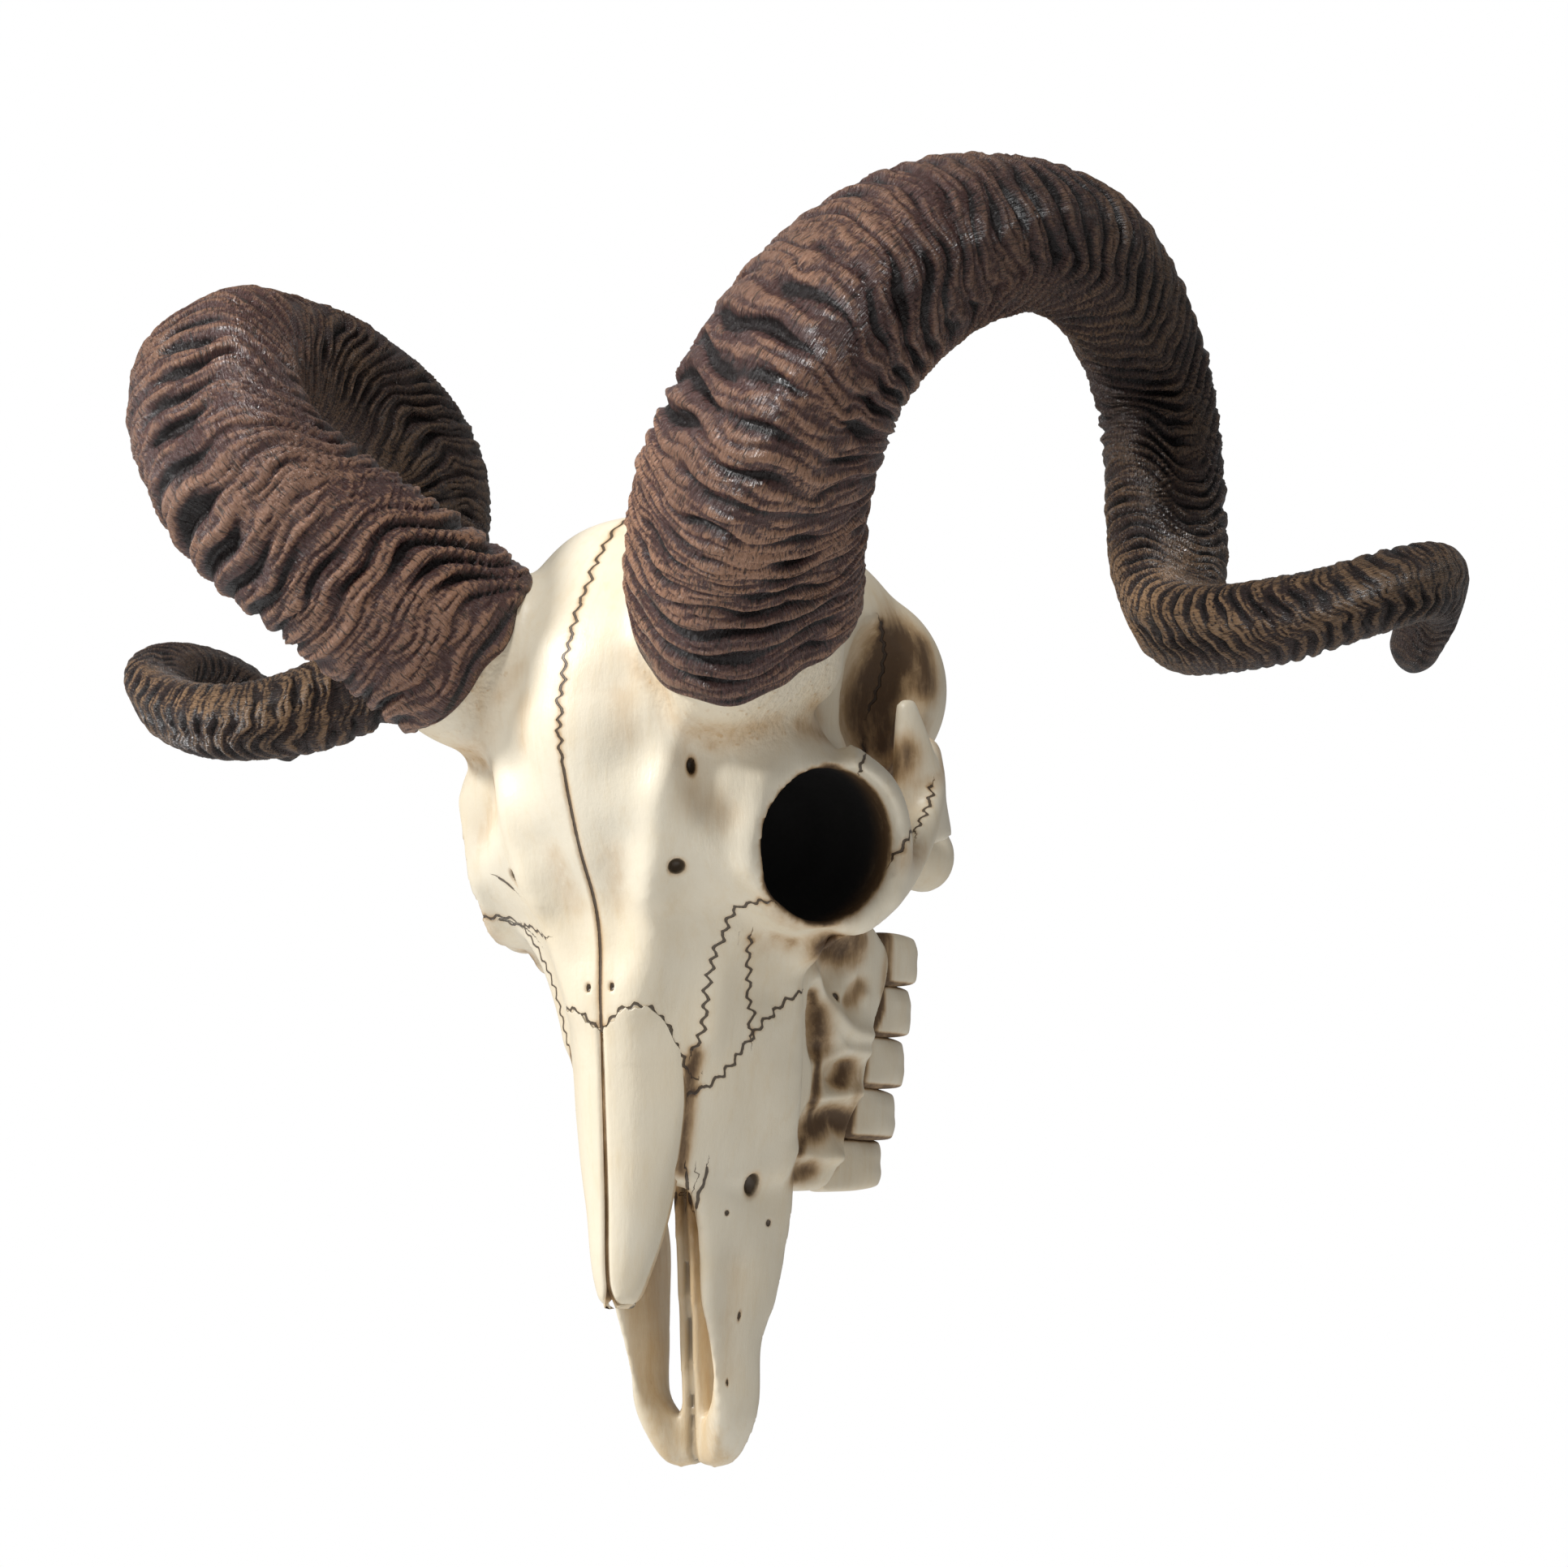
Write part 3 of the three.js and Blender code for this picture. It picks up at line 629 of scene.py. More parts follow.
# Ridges of three sizes and the grooves between the coarse ones, s millimetres along the horn.
def ridgeRelief(s, angle, share, seed):
    wander, flutter, fork, fineFork = (
        hornNoise(name, seed, s, angle) for name in ("wander", "flutter", "fork", "fineFork"))
    run = s - bendAt(angle, share) + 1.7 * wander + 0.55 * flutter
    spacing = np.interp(share, *zip(*horn["spacing"]))
    order = np.argsort(share)
    turns = np.zeros_like(share)
    turns[order] = np.cumsum(np.r_[0, np.diff(s[order]) / spacing[order][1:]])
    phase = turns + (run - s) / spacing
    strength = np.clip(0.62 + 0.5 * hornNoise("strength", seed, s, angle), 0.15, 1.35)
    saw = phase + 0.17 * fork
    saw = saw - np.floor(saw) - 0.5
    lens = np.clip(0.75 + 0.6 * hornNoise("lens", seed, s, angle), 0.12, 1.4)
    cut = hill(saw, 0.095 + 0.05 * lens) * lens
    coarse = 0.45 - 1.25 * cut + 0.4 * saw * (1 - smoothStep(0.3, 0.5, np.abs(saw)))
    second = phase * 2.6 + 0.22 * fineFork + 0.3 * fork
    medium = (2 * np.abs(np.sin(math.pi * second)) ** 0.6 - 1) * np.clip(0.8 + 0.4 * fineFork, 0.25, 1.2)
    thin = np.sin(2 * math.pi * (phase * 4.7 + 0.5 * fineFork))
    return coarse * (0.5 + 0.6 * strength), medium, thin, cut


# The radius with its ridges: the rim on the stalk is drawn in, and the tip is rounded off.
def hornRadius(length, angle, share, relief):
    tuck, tipFrom, past = horn["tuck"], horn["tipFrom"], share - horn["start"]
    slim = 0.45 + 0.9 * smoothStep(0.8, 0.86, share)
    radius = (hornRadiusAt(share) - slim) * sectionScale(angle, share)
    radius = radius + relief * (0.35 + 0.65 * smoothStep(0, 0.02, past))
    radius -= 2.2 * (1 - smoothStep(0, 0.006, past))
    inner = np.clip(length / tuck, 0, 1)
    radius = np.where(length < tuck, radius * (0.7 + 0.3 * inner), radius)
    tipRound = np.sqrt(np.clip(1 - ((np.clip(share, tipFrom, 1) - tipFrom) / 0.0155) ** 2, 0, 1))
    return radius * np.where(share > tipFrom, np.maximum(tipRound, 0.05), 1)


# How much of the tan paint each place has taken.
def hornBrushing(s, angle, share, seed):
    outer = smoothStep(0.66, 0.74, share) * hill(degreesFrom(150, angle), 45)
    outer *= 0.75 - 0.5 * smoothStep(0.79, 0.9, share)
    patch = 0.5 + 0.3 * hornNoise("patch", seed, s, angle)
    return np.clip(np.interp(share, *zip(*horn["brushing"])) * (0.45 + patch) + outer, 0, 1.2)


def makeHorn(side, seed):
    lift = through(horn["lift"][side])

    def shape(length, turn):
        tuck, first = horn["tuck"], horn["start"] + horn["lip"]
        share = first + (1 - first) * np.clip((length - tuck) / (1 - tuck), 0, 1)
        angle = 2 * math.pi * turn
        s = share * hornLength
        coarse, medium, thin, cut = ridgeRelief(s, angle, share, seed)
        size = np.clip(hornRadiusAt(share) / 24, 0.35, 1) * (1 - 0.4 * smoothStep(0.68, 0.8, share))
        size *= 1 - smoothStep(0.955, 0.995, share)
        relief = size * (2.2 * coarse + 0.65 * medium + 0.15 * thin - 0.4)
        ragged = 1.4 * hornNoise("ragged", seed, s, angle) - 3.5 * hill(degreesFrom(-38, angle), 26)
        ragged = ragged / hornLength * (1 - smoothStep(0, 0.03, share - horn["start"]))
        radius = hornRadius(length, angle, share, relief)
        points = tubePoints(np.clip(share + ragged, 0, 1), angle, radius, lift)
        level = coarse * 0.7 + 0.36 * medium + 0.1 * thin - 0.08
        # Groove darkness is dark paint in the grooves with painted shade added, stronger on one side of the
        # horn.
        shaded = 0.5 + 0.5 * np.cos(angle - math.radians(15))
        groove = np.clip(cut * (0.65 + 0.5 * shaded) - 0.34 * medium - 0.08, 0, 1)
        return points, {"crest": np.clip(0.5 + level, 0, 1), "groove": groove, "share": share,
                        "brush": hornBrushing(s, angle, share, seed)}

    mesh = skin(horn["rings"], horn["sides"], shape)
    if side == "right":
        mesh = mirrored(mesh)
    return finishPiece("horn_" + side + "_cast", mesh, hornMaterial, "horn", "horn_" + side)


makeHorn("left", 11)
makeHorn("right", 31)
print("horns made")

vault = {
    "front": [
        (-60, -26), (-38, -31), (-16, -41), (3, -49), (20, -53.5), (30, -53.5), (50, -48.5), (68, -39.5),
        (82, -30), (91, -19), (96, -2),
    ],
    "back": [
        (-60, 44), (-38, 62), (-16, 84), (3, 95), (20, 100), (50, 100), (68, 96), (82, 84), (91, 68),
        (96, 46),
    ],
    "halfWidth": [
        (-60, 20), (-38, 27), (-16, 36), (3, 43), (20, 48), (50, 53), (68, 51), (82, 43), (91, 31), (96, 12),
    ],
    "squareness": 2.4, "bottom": -60, "top": 96,
}


def makeVault():
    front, rear, halfWidth = (through(vault[name]) for name in ("front", "back", "halfWidth"))
    power = 2 / vault["squareness"]

    def shape(length, turn):
        z = vault["bottom"] + (vault["top"] - vault["bottom"]) * (0.5 - 0.5 * np.cos(math.pi * length))
        angle = 2 * math.pi * turn
        x = halfWidth(z) * bulged(np.sin(angle), power)
        y = (front(z) + rear(z)) / 2 - (rear(z) - front(z)) / 2 * bulged(np.cos(angle), power)
        return np.stack([x, y, z], axis=1), {}

    return skin(70, 90, shape)


# A solid through outlines of like corners, one at each height. The way from corner to corner is a
# curve, mixed with a straight line so that edges stay readable.
def loft(heights, outlines, straight, leastX, along, around):
    heights, outlines = np.array(heights, float), np.array(outlines, float)
    order = np.argsort(heights)
    corners = outlines.shape[1]
    curves = [
        [through(list(zip(heights[order], outlines[order, j, k]))) for k in (0, 1)] for j in range(corners)
    ]

    def shape(length, turn):
        z = heights[0] + (heights[-1] - heights[0]) * length
        ring = np.array([[curve(z) for curve in corner] for corner in curves])
        spot = (turn % 1) * corners
        first = np.floor(spot).astype(int) % corners
        t = (spot - np.floor(spot))[:, None]
        a, b, c, d = (ring[(first + k) % corners, :, np.arange(len(z))] for k in (-1, 0, 1, 2))
        bent = 2 * b + (c - a) * t + (2 * a - 5 * b + 4 * c - d) * t ** 2
        bent = 0.5 * (bent + (3 * b - a - 3 * c + d) * t ** 3)
        flat = straight * (b + (c - b) * t) + (1 - straight) * bent
        return np.stack([np.maximum(flat[:, 0], leastX), flat[:, 1], z], axis=1), {}

    return skin(along, around, shape)


# Half outline at each height: nose ridge, side of the nose, cheek edge, hollow, outer gum, palate.
snout = [
    (34, -50, (40, -33), (54, -10), (50, 10), (38, 30), 40),
    (20, -52, (38, -37), (63, -17), (60, 0), (38, 30), 40),
    (4, -49, (33, -41), (57, -24), (59, -4), (38, 30), 40),
    (-13, -43, (28, -38), (54, -25), (56, -6), (38, 40), 50),
    (-28, -35.5, (25, -33), (49, -15), (51, 4), (37, 62), 62),
    (-37, -33.2, (22, -31), (46.5, 0), (38, 22), (36.5, 74), 66),
    (-47, -32.6, (19.5, -29), (45.5, 9), (34.5, 26), (36, 74), 66),
    (-62, -31.8, (17, -25.5), (43, 14), (31, 29), (34, 69), 62),
    (-86, -30.5, (19.5, -16.5), (38.5, 20), (27, 33), (30, 67), 58),
    (-103, -29.5, (18, -13.5), (33, 24), (23, 37), (25, 64), 53),
    (-110, -29.2, (17.5, -13), (30, 25), (22.5, 39), (22.5, 62), 48),
    (-114, -29, (17, -12.5), (28, 27), (22, 38), (20.5, 59), 45),
]
gumWidth = 13


def snoutOutline(ridge, side, cheek, hollow, gum, palate):
    half = [
        (side[0] * 0.5, ridge + (side[1] - ridge) * 0.22), side,
        ((side[0] + cheek[0]) / 2 + 1.5, (side[1] + cheek[1]) / 2 - 1.5), cheek, hollow,
        (gum[0], gum[1] - 12), gum, (gum[0] - gumWidth, gum[1]), (gum[0] - gumWidth - 3, palate),
    ]
    other = [(-x, y) for x, y in reversed(half)]
    return [(0, ridge)] + half + [(0, palate - 3)] + other


def makeSnout():
    outlines = [snoutOutline(*row[1:]) for row in snout]
    return loft([row[0] for row in snout], outlines, 0.45, -math.inf, 110, 160)


orbit = {
    "centre": np.array([64.0, -5, -12]), "axis": np.array([0.89, -0.39, -0.17]), "open": 23.4, "rim": 26.2,
    "middle": 31, "root": 37, "rootDepth": 46, "depth": 36,
}
orbit["axis"] /= np.linalg.norm(orbit["axis"])


def turnedAboutOrbit(profile, along=40, around=72):
    across = np.cross([0, 0, 1.0], orbit["axis"])
    across /= np.linalg.norm(across)
    upward = np.cross(orbit["axis"], across)
    depths, radii = np.array(profile, float).T
    spots = np.linspace(0, 1, len(profile))

    def shape(length, turn):
        depth, radius = np.interp(length, spots, depths), np.interp(length, spots, radii)
        angle = 2 * math.pi * turn
        points = orbit["centre"] - depth[:, None] * orbit["axis"]
        points = points + (radius * np.cos(angle))[:, None] * across
        return points + (radius * np.sin(angle))[:, None] * upward, {}

    return skin(along, around, shape)


def makeOrbitWall():
    rim = orbit["rim"]
    profile = [(-0.6, 12), (-1.0, rim - 3.5), (-0.9, rim - 2.2), (0, rim - 0.6), (1.8, rim), (5, rim + 0.2),
               (orbit["rootDepth"] / 2, orbit["middle"]), (orbit["rootDepth"], orbit["root"])]
    return turnedAboutOrbit(profile, 56)


def makeSocket():
    wide, deep = orbit["open"], orbit["depth"]
    profile = [(-8, 2), (-8, wide + 2), (-1.5, wide + 0.6), (1.5, wide - 0.4), (deep * 0.3, wide + 0.5),
               (deep * 0.6, wide * 0.92), (deep * 0.9, wide * 0.6), (deep, wide * 0.25)]
    return turnedAboutOrbit(profile, 48)


def ball(at, size):
    def shape(length, turn):
        polar, angle = math.pi * length, 2 * math.pi * turn
        unit = np.stack([np.sin(polar) * np.cos(angle), np.sin(polar) * np.sin(angle), np.cos(polar)], axis=1)
        return unit * size + at, {}

    return skin(28, 40, shape)


def bar(path, radii, flatness):
    points, _ = respaced(splinePoints(path, 12), 60)
    _, sides, ups = framesAlong(points)
    radiusAt = through(list(zip(np.linspace(0, 1, len(radii)), radii)))

    def shape(length, turn):
        t = np.clip((length - 0.06) / 0.88, 0, 1)
        cap = np.sqrt(np.clip(1 - (np.abs(length - 0.5) * 2 - 0.88).clip(0) ** 2 / 0.0144, 0, 1))
        centre, side, upward = (lineValue(values, t) for values in (points, sides, ups))
        r = radiusAt(t) * cap
        angle = 2 * math.pi * turn
        out = side * (r * np.cos(angle))[:, None] + upward * (r * flatness * np.sin(angle))[:, None]
        return centre + out, {}

    return skin(40, 28, shape)


cheekBar = {
    "path": [(36, 14, -46), (56, 9, -40), (69, 20, -27), (69, 38, -10), (63, 55, 8), (52, 68, 22)],
    "radii": [6, 6, 6.5, 7, 8, 10], "flatness": 0.62,
}
eyeBar = {
    "path": [(68, -2, 14), (74, 12, 5), (74, 20, -12), (69, 20, -27)],
    "radii": [7, 6, 5.5, 6.5], "flatness": 0.8,
}
cheekSpur = {
    "path": [(61, 55, -6), (61.5, 50, 14), (60.5, 45, 38)],
    "radii": [12.5, 10, 4.2], "flatness": 0.6,
}
# Middle and half sizes of the balls added to the braincase, and of the one cut out at the temple.
masses = [
    ((26, 70, 46), (29, 30, 32)), ((39, 89, -6), (10, 12, 12)), ((29, 80, 0), (15, 15, 17)),
    ((16, 97, 0), (11, 9, 15)), ((22, 70, -13), (15, 18, 17)),
]
temple = ((60, 45, 37), (25, 23, 28))

# Height, front edge, rear edge and thickness.
premaxilla = [
    (-102, (19.5, -9), (29.5, 30), 10), (-113.6, (19, -6), (28, 32), 9.5),
    (-122, (18.8, -3), (26.4, 33), 9), (-131, (18.3, -1), (24.6, 33), 8.5),
    (-147, (18, 0), (22.6, 30.5), 8), (-160, (17.6, 4), (19.8, 27), 7.5),
    (-176, (16.4, 8), (19.6, 26.5), 8), (-183, (15.5, 10.5), (18.5, 26), 13),
    (-191, (12.5, 13.5), (15, 25.5), 12), (-196, (9.5, 16), (11.5, 25), 9),
    (-198.6, (6.5, 19), (8, 23.5), 6),
]


def premaxillaOutline(front, rear, thick):
    middle = ((front[0] + rear[0]) / 2 + 1.5, (front[1] + rear[1]) / 2)
    return [
        front, middle, rear, (rear[0] - thick * 0.8, rear[1] - 1.5), (middle[0] - thick, middle[1]),
        (front[0] - thick * 0.5, front[1] + 1.5),
    ]


def makePremaxilla():
    outlines = [premaxillaOutline(*row[1:]) for row in premaxilla]
    return loft([row[0] for row in premaxilla], outlines, 0, 0.5, 90, 60)


rod = {"half": 4.7, "front": 11, "back": 29, "thick": 15, "slope": 0.075, "top": -104, "tip": -198.2}


def makeRod():
    def shape(length, turn):
        z = rod["top"] + (rod["tip"] - rod["top"]) * length
        near = rod["front"] + (-113 - z).clip(0) * rod["slope"]
        far = np.minimum(rod["back"], near + rod["thick"])
        half = rod["half"] - 1.6 * smoothStep(-188, -198, z)
        angle = 2 * math.pi * turn
        x = 0.35 + (half - 0.35) / 2 * (1 + bulged(np.cos(angle), 0.7))
        y = (near + far) / 2 + (far - near) / 2 * bulged(np.sin(angle), 0.7)
        return np.stack([x, y, z], axis=1), {}

    return skin(60, 32, shape)


def makePedicle():
    def shape(length, turn):
        share = horn["start"] * 1.6 * length
        angle = 2 * math.pi * turn
        radius = (hornRadiusAt(share) - horn["inset"]) * sectionScale(angle, share)
        return tubePoints(share, angle, radius, np.zeros_like), {}

    return skin(20, 72, shape)


nasal = {
    "z": [(0, -56), (0.3, -86), (0.62, -118), (0.86, -139), (0.95, -146.5), (1, -150.2)],
    "ridge": [(0, -31.9), (0.3, -30.4), (0.62, -28.8), (0.86, -28.2), (1, -26)],
    "width": [
        (0, 20), (0.3, 20), (0.45, 17.7), (0.62, 14), (0.8, 10.7), (0.88, 8.8), (0.94, 7), (0.98, 5), (1, 3),
    ],
    "sideDrop": [(0, 10), (0.3, 14), (0.62, 13.5), (0.82, 9.5), (1, 4)],
    "thickness": 5.5, "gap": 0.18, "free": -78, "lifted": -118,
}
noseRoom = {"top": -97, "bottom": -121, "middle": 13, "halfDepth": 21, "halfWidth": 13.6}


def nasalCurves(share):
    return [through(nasal[name])(share) for name in ("z", "ridge", "width", "sideDrop")]


# Cut away around the free part of the nose bones: a narrow gap at its side that widens downwards.
def makeNasalRoom():
    def shape(length, turn):
        share = 0.245 + 0.765 * length
        z, ridge, width, drop = nasalCurves(share.clip(0, 1))
        gap = 0.6 + 3.2 * smoothStep(0.25, 0.55, share)
        angle = 2 * math.pi * turn
        sweep = np.clip(np.abs(np.sin(angle)) * 1.25, 0, 1) * np.sign(np.sin(angle))
        top = np.cos(angle) > 0
        along = np.abs(sweep) * math.pi / 2
        y = ridge + drop * (1 - np.cos(along)) + np.where(top, -7, nasal["thickness"] + 1)
        x = np.sign(sweep) * ((width + gap) * np.sin(along)) + np.where(top, 1.5 * sweep, 0)
        return np.stack([x, y, z - 2.5 * (length > 0.99)], axis=1), {}

    return skin(80, 72, shape)


def makeNoseRoom():
    def shape(length, turn):
        z = noseRoom["top"] + (noseRoom["bottom"] - noseRoom["top"]) * length
        angle = 2 * math.pi * turn
        size = np.sqrt(np.clip(1 - (2 * np.clip(0.5 - length, 0, 0.5)) ** 2, 0.02, 1))
        x = noseRoom["halfWidth"] * size * bulged(np.sin(angle), 0.7)
        y = noseRoom["middle"] + noseRoom["halfDepth"] * size * bulged(np.cos(angle), 0.7)
        return np.stack([x, y, z], axis=1), {}

    return skin(30, 48, shape)


# Grain of each union in mm, and the passes, fill and wear of each evening out.
casting = {
    "blockGrain": 1.6, "templeGrain": 1.5, "noseGrain": 0.8, "fullGrain": 1.15, "finalGrain": 1.56,
    "block": (26, 0.7, 0.08), "full": (7, 0.7, 0.12), "final": (2, 0.5, 0.3), "refined": (1, 0.5, 0.3),
    "carving": (2, 0.4, 0.3),
}


def makeSkullMesh():
    sides = bothSides([makeOrbitWall(), makePedicle()] + [ball(*mass) for mass in masses])
    rough = voxelUnion([makeVault(), makeSnout()] + sides, casting["blockGrain"])
    relax(rough, *casting["block"])
    print("skull blocked out", len(rough.vertices))
    rough = carved(rough, [voxelUnion(bothSides([ball(*temple)]), casting["templeGrain"])])
    rough = carved(rough, [voxelUnion([makeNasalRoom(), makeNoseRoom()], casting["noseGrain"])])
    bars = [bar(**cheekBar), bar(**eyeBar), bar(**cheekSpur)]
    rough = voxelUnion([rough] + bothSides(bars + [makePremaxilla(), makeRod()]), casting["fullGrain"])
    relax(rough, *casting["full"])
    mesh = carved(rough, bothSides([makeSocket()]))
    return withModifier(mesh, "REMESH", mode="VOXEL", voxel_size=casting["finalGrain"])


# Marks on the bone: lines and spots are pixels of the camera's picture, dropped onto the surface.
# Half width of the swing in mm, then the line. Swinging lines are sutures and still ones are cracks.
seamLines = {
    "brow": (1.0, [(944, 1110), (925, 1112), (905, 1122), (892, 1150), (880, 1178), (871, 1215), (869, 1245),
                   (865, 1272), (855, 1293)]),
    "tear": (1.0, [(925, 1155), (922, 1175), (923, 1200), (923, 1225), (926, 1250), (926, 1276)]),
    "cheek": (1.1, [(987, 1222), (965, 1236), (948, 1252), (927, 1276), (912, 1297), (896, 1317), (875, 1337),
                    (852, 1349)]),
    "browEnd": (0.7, [(1064, 920), (1064, 933), (1059, 950)]),
    "side": (1.0, [(1149, 970), (1144, 992), (1133, 1014), (1117, 1034), (1101, 1058)]),
    "fossa": (0.5, [(1085, 768), (1089, 800), (1087, 826), (1080, 852), (1071, 875)]),
    "farCheek": (0.7, [(617, 1132), (634, 1140), (652, 1142), (671, 1154)]),
    "farSlit": (0, [(615, 1082), (623, 1087), (632, 1095)]),
    "noseCrack": (0.2, [(871, 1440), (868, 1456), (861, 1470), (858, 1488)]),
    "noseSplinter": (0.1, [(846, 1446), (847, 1462), (851, 1482)]),
    "arch": (0.8, [(742, 1270), (752, 1258), (765, 1245), (785, 1239), (805, 1245), (820, 1262), (832, 1285),
                   (840, 1303), (846, 1316)]),
}
# Middle, half sizes across and up in mm, lean in degrees, depth.
holes = {
    "upper": ((852, 944), 1.3, 2.5, -5, 3), "lower": ((834, 1068), 2.5, 2.4, 0, 3.2),
    "nose": ((753, 1216), 0.8, 1.4, 0, 1.2), "cheek": ((927, 1460), 2.7, 3.7, -16, 3.2),
    "mouth": ((896, 1495), 0.9, 0.9, 0, 0.5), "mouthSide": ((947, 1507), 1.1, 1.1, 0, 0.5),
    "blade": ((911, 1622), 0.6, 1.6, 10, 0.4), "bladeLow": ((896, 1704), 0.5, 1.1, 0, 0.3),
    "alveolus": ((1031, 1228), 1.6, 1.2, 30, 1.5),
}
# Reach and height in mm, then the line. Negative heights are hollows.
reliefs = [
    (8.5, -3.0, [(758, 850), (764, 890), (775, 925)]),       # forehead dent
    (4.2, 2.3, [(842, 890), (828, 935), (812, 985), (808, 1035), (803, 1100)]),
    (5.5, 1.7, [(803, 1080), (798, 1130), (790, 1180), (782, 1235)]),
    (6, -1.5, [(757, 1040), (762, 1110), (764, 1170)]),
    (7, -1.5, [(845, 1130), (838, 1190), (832, 1240)]),
    (6.5, -3.2, [(868, 985), (893, 1000)]),                  # dent in front of the socket
    (6, -2.4, [(890, 915), (945, 903), (990, 898)]),         # under the horn
    (5, -1.8, [(858, 930), (856, 955)]),
    (4, 1.5, [(938, 965), (925, 1015), (922, 1065)]),
    (3.5, 1.2, [(955, 950), (995, 925), (1040, 922)]),
    (6, -1.2, [(860, 1080), (880, 1110)]),
    (3.2, 1.6, [(908, 1150), (893, 1185), (884, 1230), (880, 1275)]),
    (5, -2.0, [(955, 1165), (957, 1195), (950, 1220)]),      # tear hollow
    (2.8, 1.2, [(952, 1128), (972, 1146), (1000, 1152), (1035, 1142)]),
    (2.6, 1.3, [(993, 1215), (994, 1250), (997, 1285), (1002, 1325), (992, 1385), (968, 1440)]),
    (7, -1.0, [(935, 1340), (930, 1400)]),
    (5, 0.8, [(960, 1330), (955, 1390), (935, 1425)]),
    (4.5, -1.3, [(905, 1560), (900, 1620), (893, 1690)]),
]
# The hollows and ridges of the cheek over the teeth, in the same way.
toothHollow = [
    (4.2, -5.4, [(1020, 1165), (1045, 1180), (1030, 1200)]),
    (3.4, -5.4, [(1006, 1248), (1010, 1285), (1020, 1300)]),
    (3.2, -4.6, [(1042, 1315), (1032, 1330)]), (4.2, -5.2, [(1000, 1392), (1020, 1378), (1040, 1385)]),
    (3.2, -3.4, [(982, 1445), (1000, 1440)]), (2.8, -3.4, [(1050, 1235), (1060, 1215)]),
    (2.0, -3.0, [(1000, 1222), (1006, 1262), (1008, 1320), (1000, 1372), (986, 1420)]),
    (2.0, 2.8, [(1000, 1200), (1025, 1245), (1050, 1270), (1068, 1275)]),
    (1.6, 1.6, [(1062, 1160), (1055, 1195), (1066, 1225)]),
    (1.8, 2.6, [(1012, 1310), (1040, 1298), (1070, 1296)]),
    (1.8, 2.6, [(1008, 1355), (1035, 1350), (1062, 1345)]), (1.4, 1.2, [(1018, 1262), (1040, 1290)]),
    (1.8, 1.8, [(1030, 1425), (1050, 1425)]), (1.6, 1.6, [(985, 1418), (1005, 1428), (1030, 1422)]),
]
# Reach in mm, strength, then the line.
washes = [
    (5, 0.95, [(1020, 1165), (1040, 1170), (1055, 1160)]), (3.5, 0.85, [(1006, 1248), (1009, 1290)]),
    (3, 0.9, [(1042, 1315), (1034, 1332)]), (4.2, 1.0, [(1000, 1392), (1020, 1376), (1038, 1382)]),
    (3, 0.8, [(978, 1448), (996, 1440)]), (2.6, 0.7, [(1046, 1232), (1058, 1215)]),
    (2, 0.5, [(1094, 1160), (1084, 1245), (1074, 1300), (1064, 1355), (1045, 1430)]),
    (1.6, 0.9, [(999, 1222), (1005, 1262), (1007, 1320), (999, 1372), (985, 1420)]),
    (1.6, 0.6, [(1050, 1190), (1062, 1180)]), (2, 0.5, [(1060, 1320), (1050, 1400)]),
    (9, 1.1, [(1105, 800), (1078, 850), (1072, 890), (1090, 905)]), (6, 0.9, [(1135, 800), (1140, 840)]),
    (5, 0.85, [(1112, 930), (1100, 950)]), (4, 0.6, [(1085, 770), (1090, 800)]),
    (4, 0.4, [(985, 900), (1010, 890), (1000, 870)]), (3.5, 0.5, [(985, 892), (1000, 900), (1014, 905)]),
    (5, 0.4, [(850, 900), (900, 905), (950, 895)]), (5, 0.3, [(846, 930), (856, 985)]),
    (5, 0.28, [(765, 860), (772, 900)]), (3, 0.3, [(925, 1155), (950, 1165)]),
    (5, 0.3, [(868, 985), (893, 1005)]), (4, 0.3, [(757, 1050), (762, 1110)]),
    (3, 0.3, [(590, 870), (625, 850), (640, 820)]), (4, 0.25, [(1120, 990), (1135, 950)]),
    (5, 0.2, [(905, 1560), (900, 1620), (893, 1690)]), (2.4, 0.5, [(1000, 1140), (1035, 1132), (1052, 1122)]),
    (3, 0.35, [(944, 1110), (965, 1135), (985, 1142)]),
    (2, 0.95, [(858, 1300), (850, 1330), (846, 1380), (838, 1440)]),
    (3, 0.5, [(826, 1480), (845, 1490), (856, 1510)]),
    (4, 0.4, [(1115, 1060), (1135, 1050)]), (3, 0.3, [(1010, 1340), (1018, 1310)]),
    (5, 0.3, [(590, 860), (600, 900), (570, 930)]),
]


def alongPixels(pixels, step=5):
    flat = np.column_stack([np.asarray(pixels, float), np.zeros(len(pixels))])
    dense = splinePoints(flat, 12)
    return respaced(dense, max(2, int(np.linalg.norm(np.diff(dense, axis=0), axis=1).sum() / step)))[0][:, :2]


def treeOf(mesh):
    bm = bmesh.new()
    bm.from_mesh(mesh)
    tree = BVHTree.FromBMesh(bm)
    bm.free()
    return tree


def dropped(tree, pixels, step=5):
    hits = [tree.ray_cast(Vector(view["at"]), Vector(rayThrough(pixel)).normalized())
            for pixel in (alongPixels(pixels, step) if len(pixels) > 1 else pixels)]
    return np.array([hit[0] for hit in hits if hit[0] is not None])


def sideOf(points):
    return 1 if points[:, 0].mean() > 0 else -1


# Every mark is made on its own side and mirrored across the midline.
def carveMarks(mesh, tree, marks):
    points, normals = readPoints(mesh), readNormals(mesh)
    lift = np.zeros(len(points))
    for reach, height, pixels in marks:
        path = dropped(tree, pixels)
        half = np.where(points[:, 0] * sideOf(path) >= -2, 1, -1) * sideOf(path)
        for side in (1, -1):
            some = half == side * sideOf(path)
            distance = segmentDistance(points[some] * [side, 1, 1], path, reach * 3.5)
            lift[some] += height * hill(distance, reach)
    writePoints(mesh, points + normals * lift[:, None])


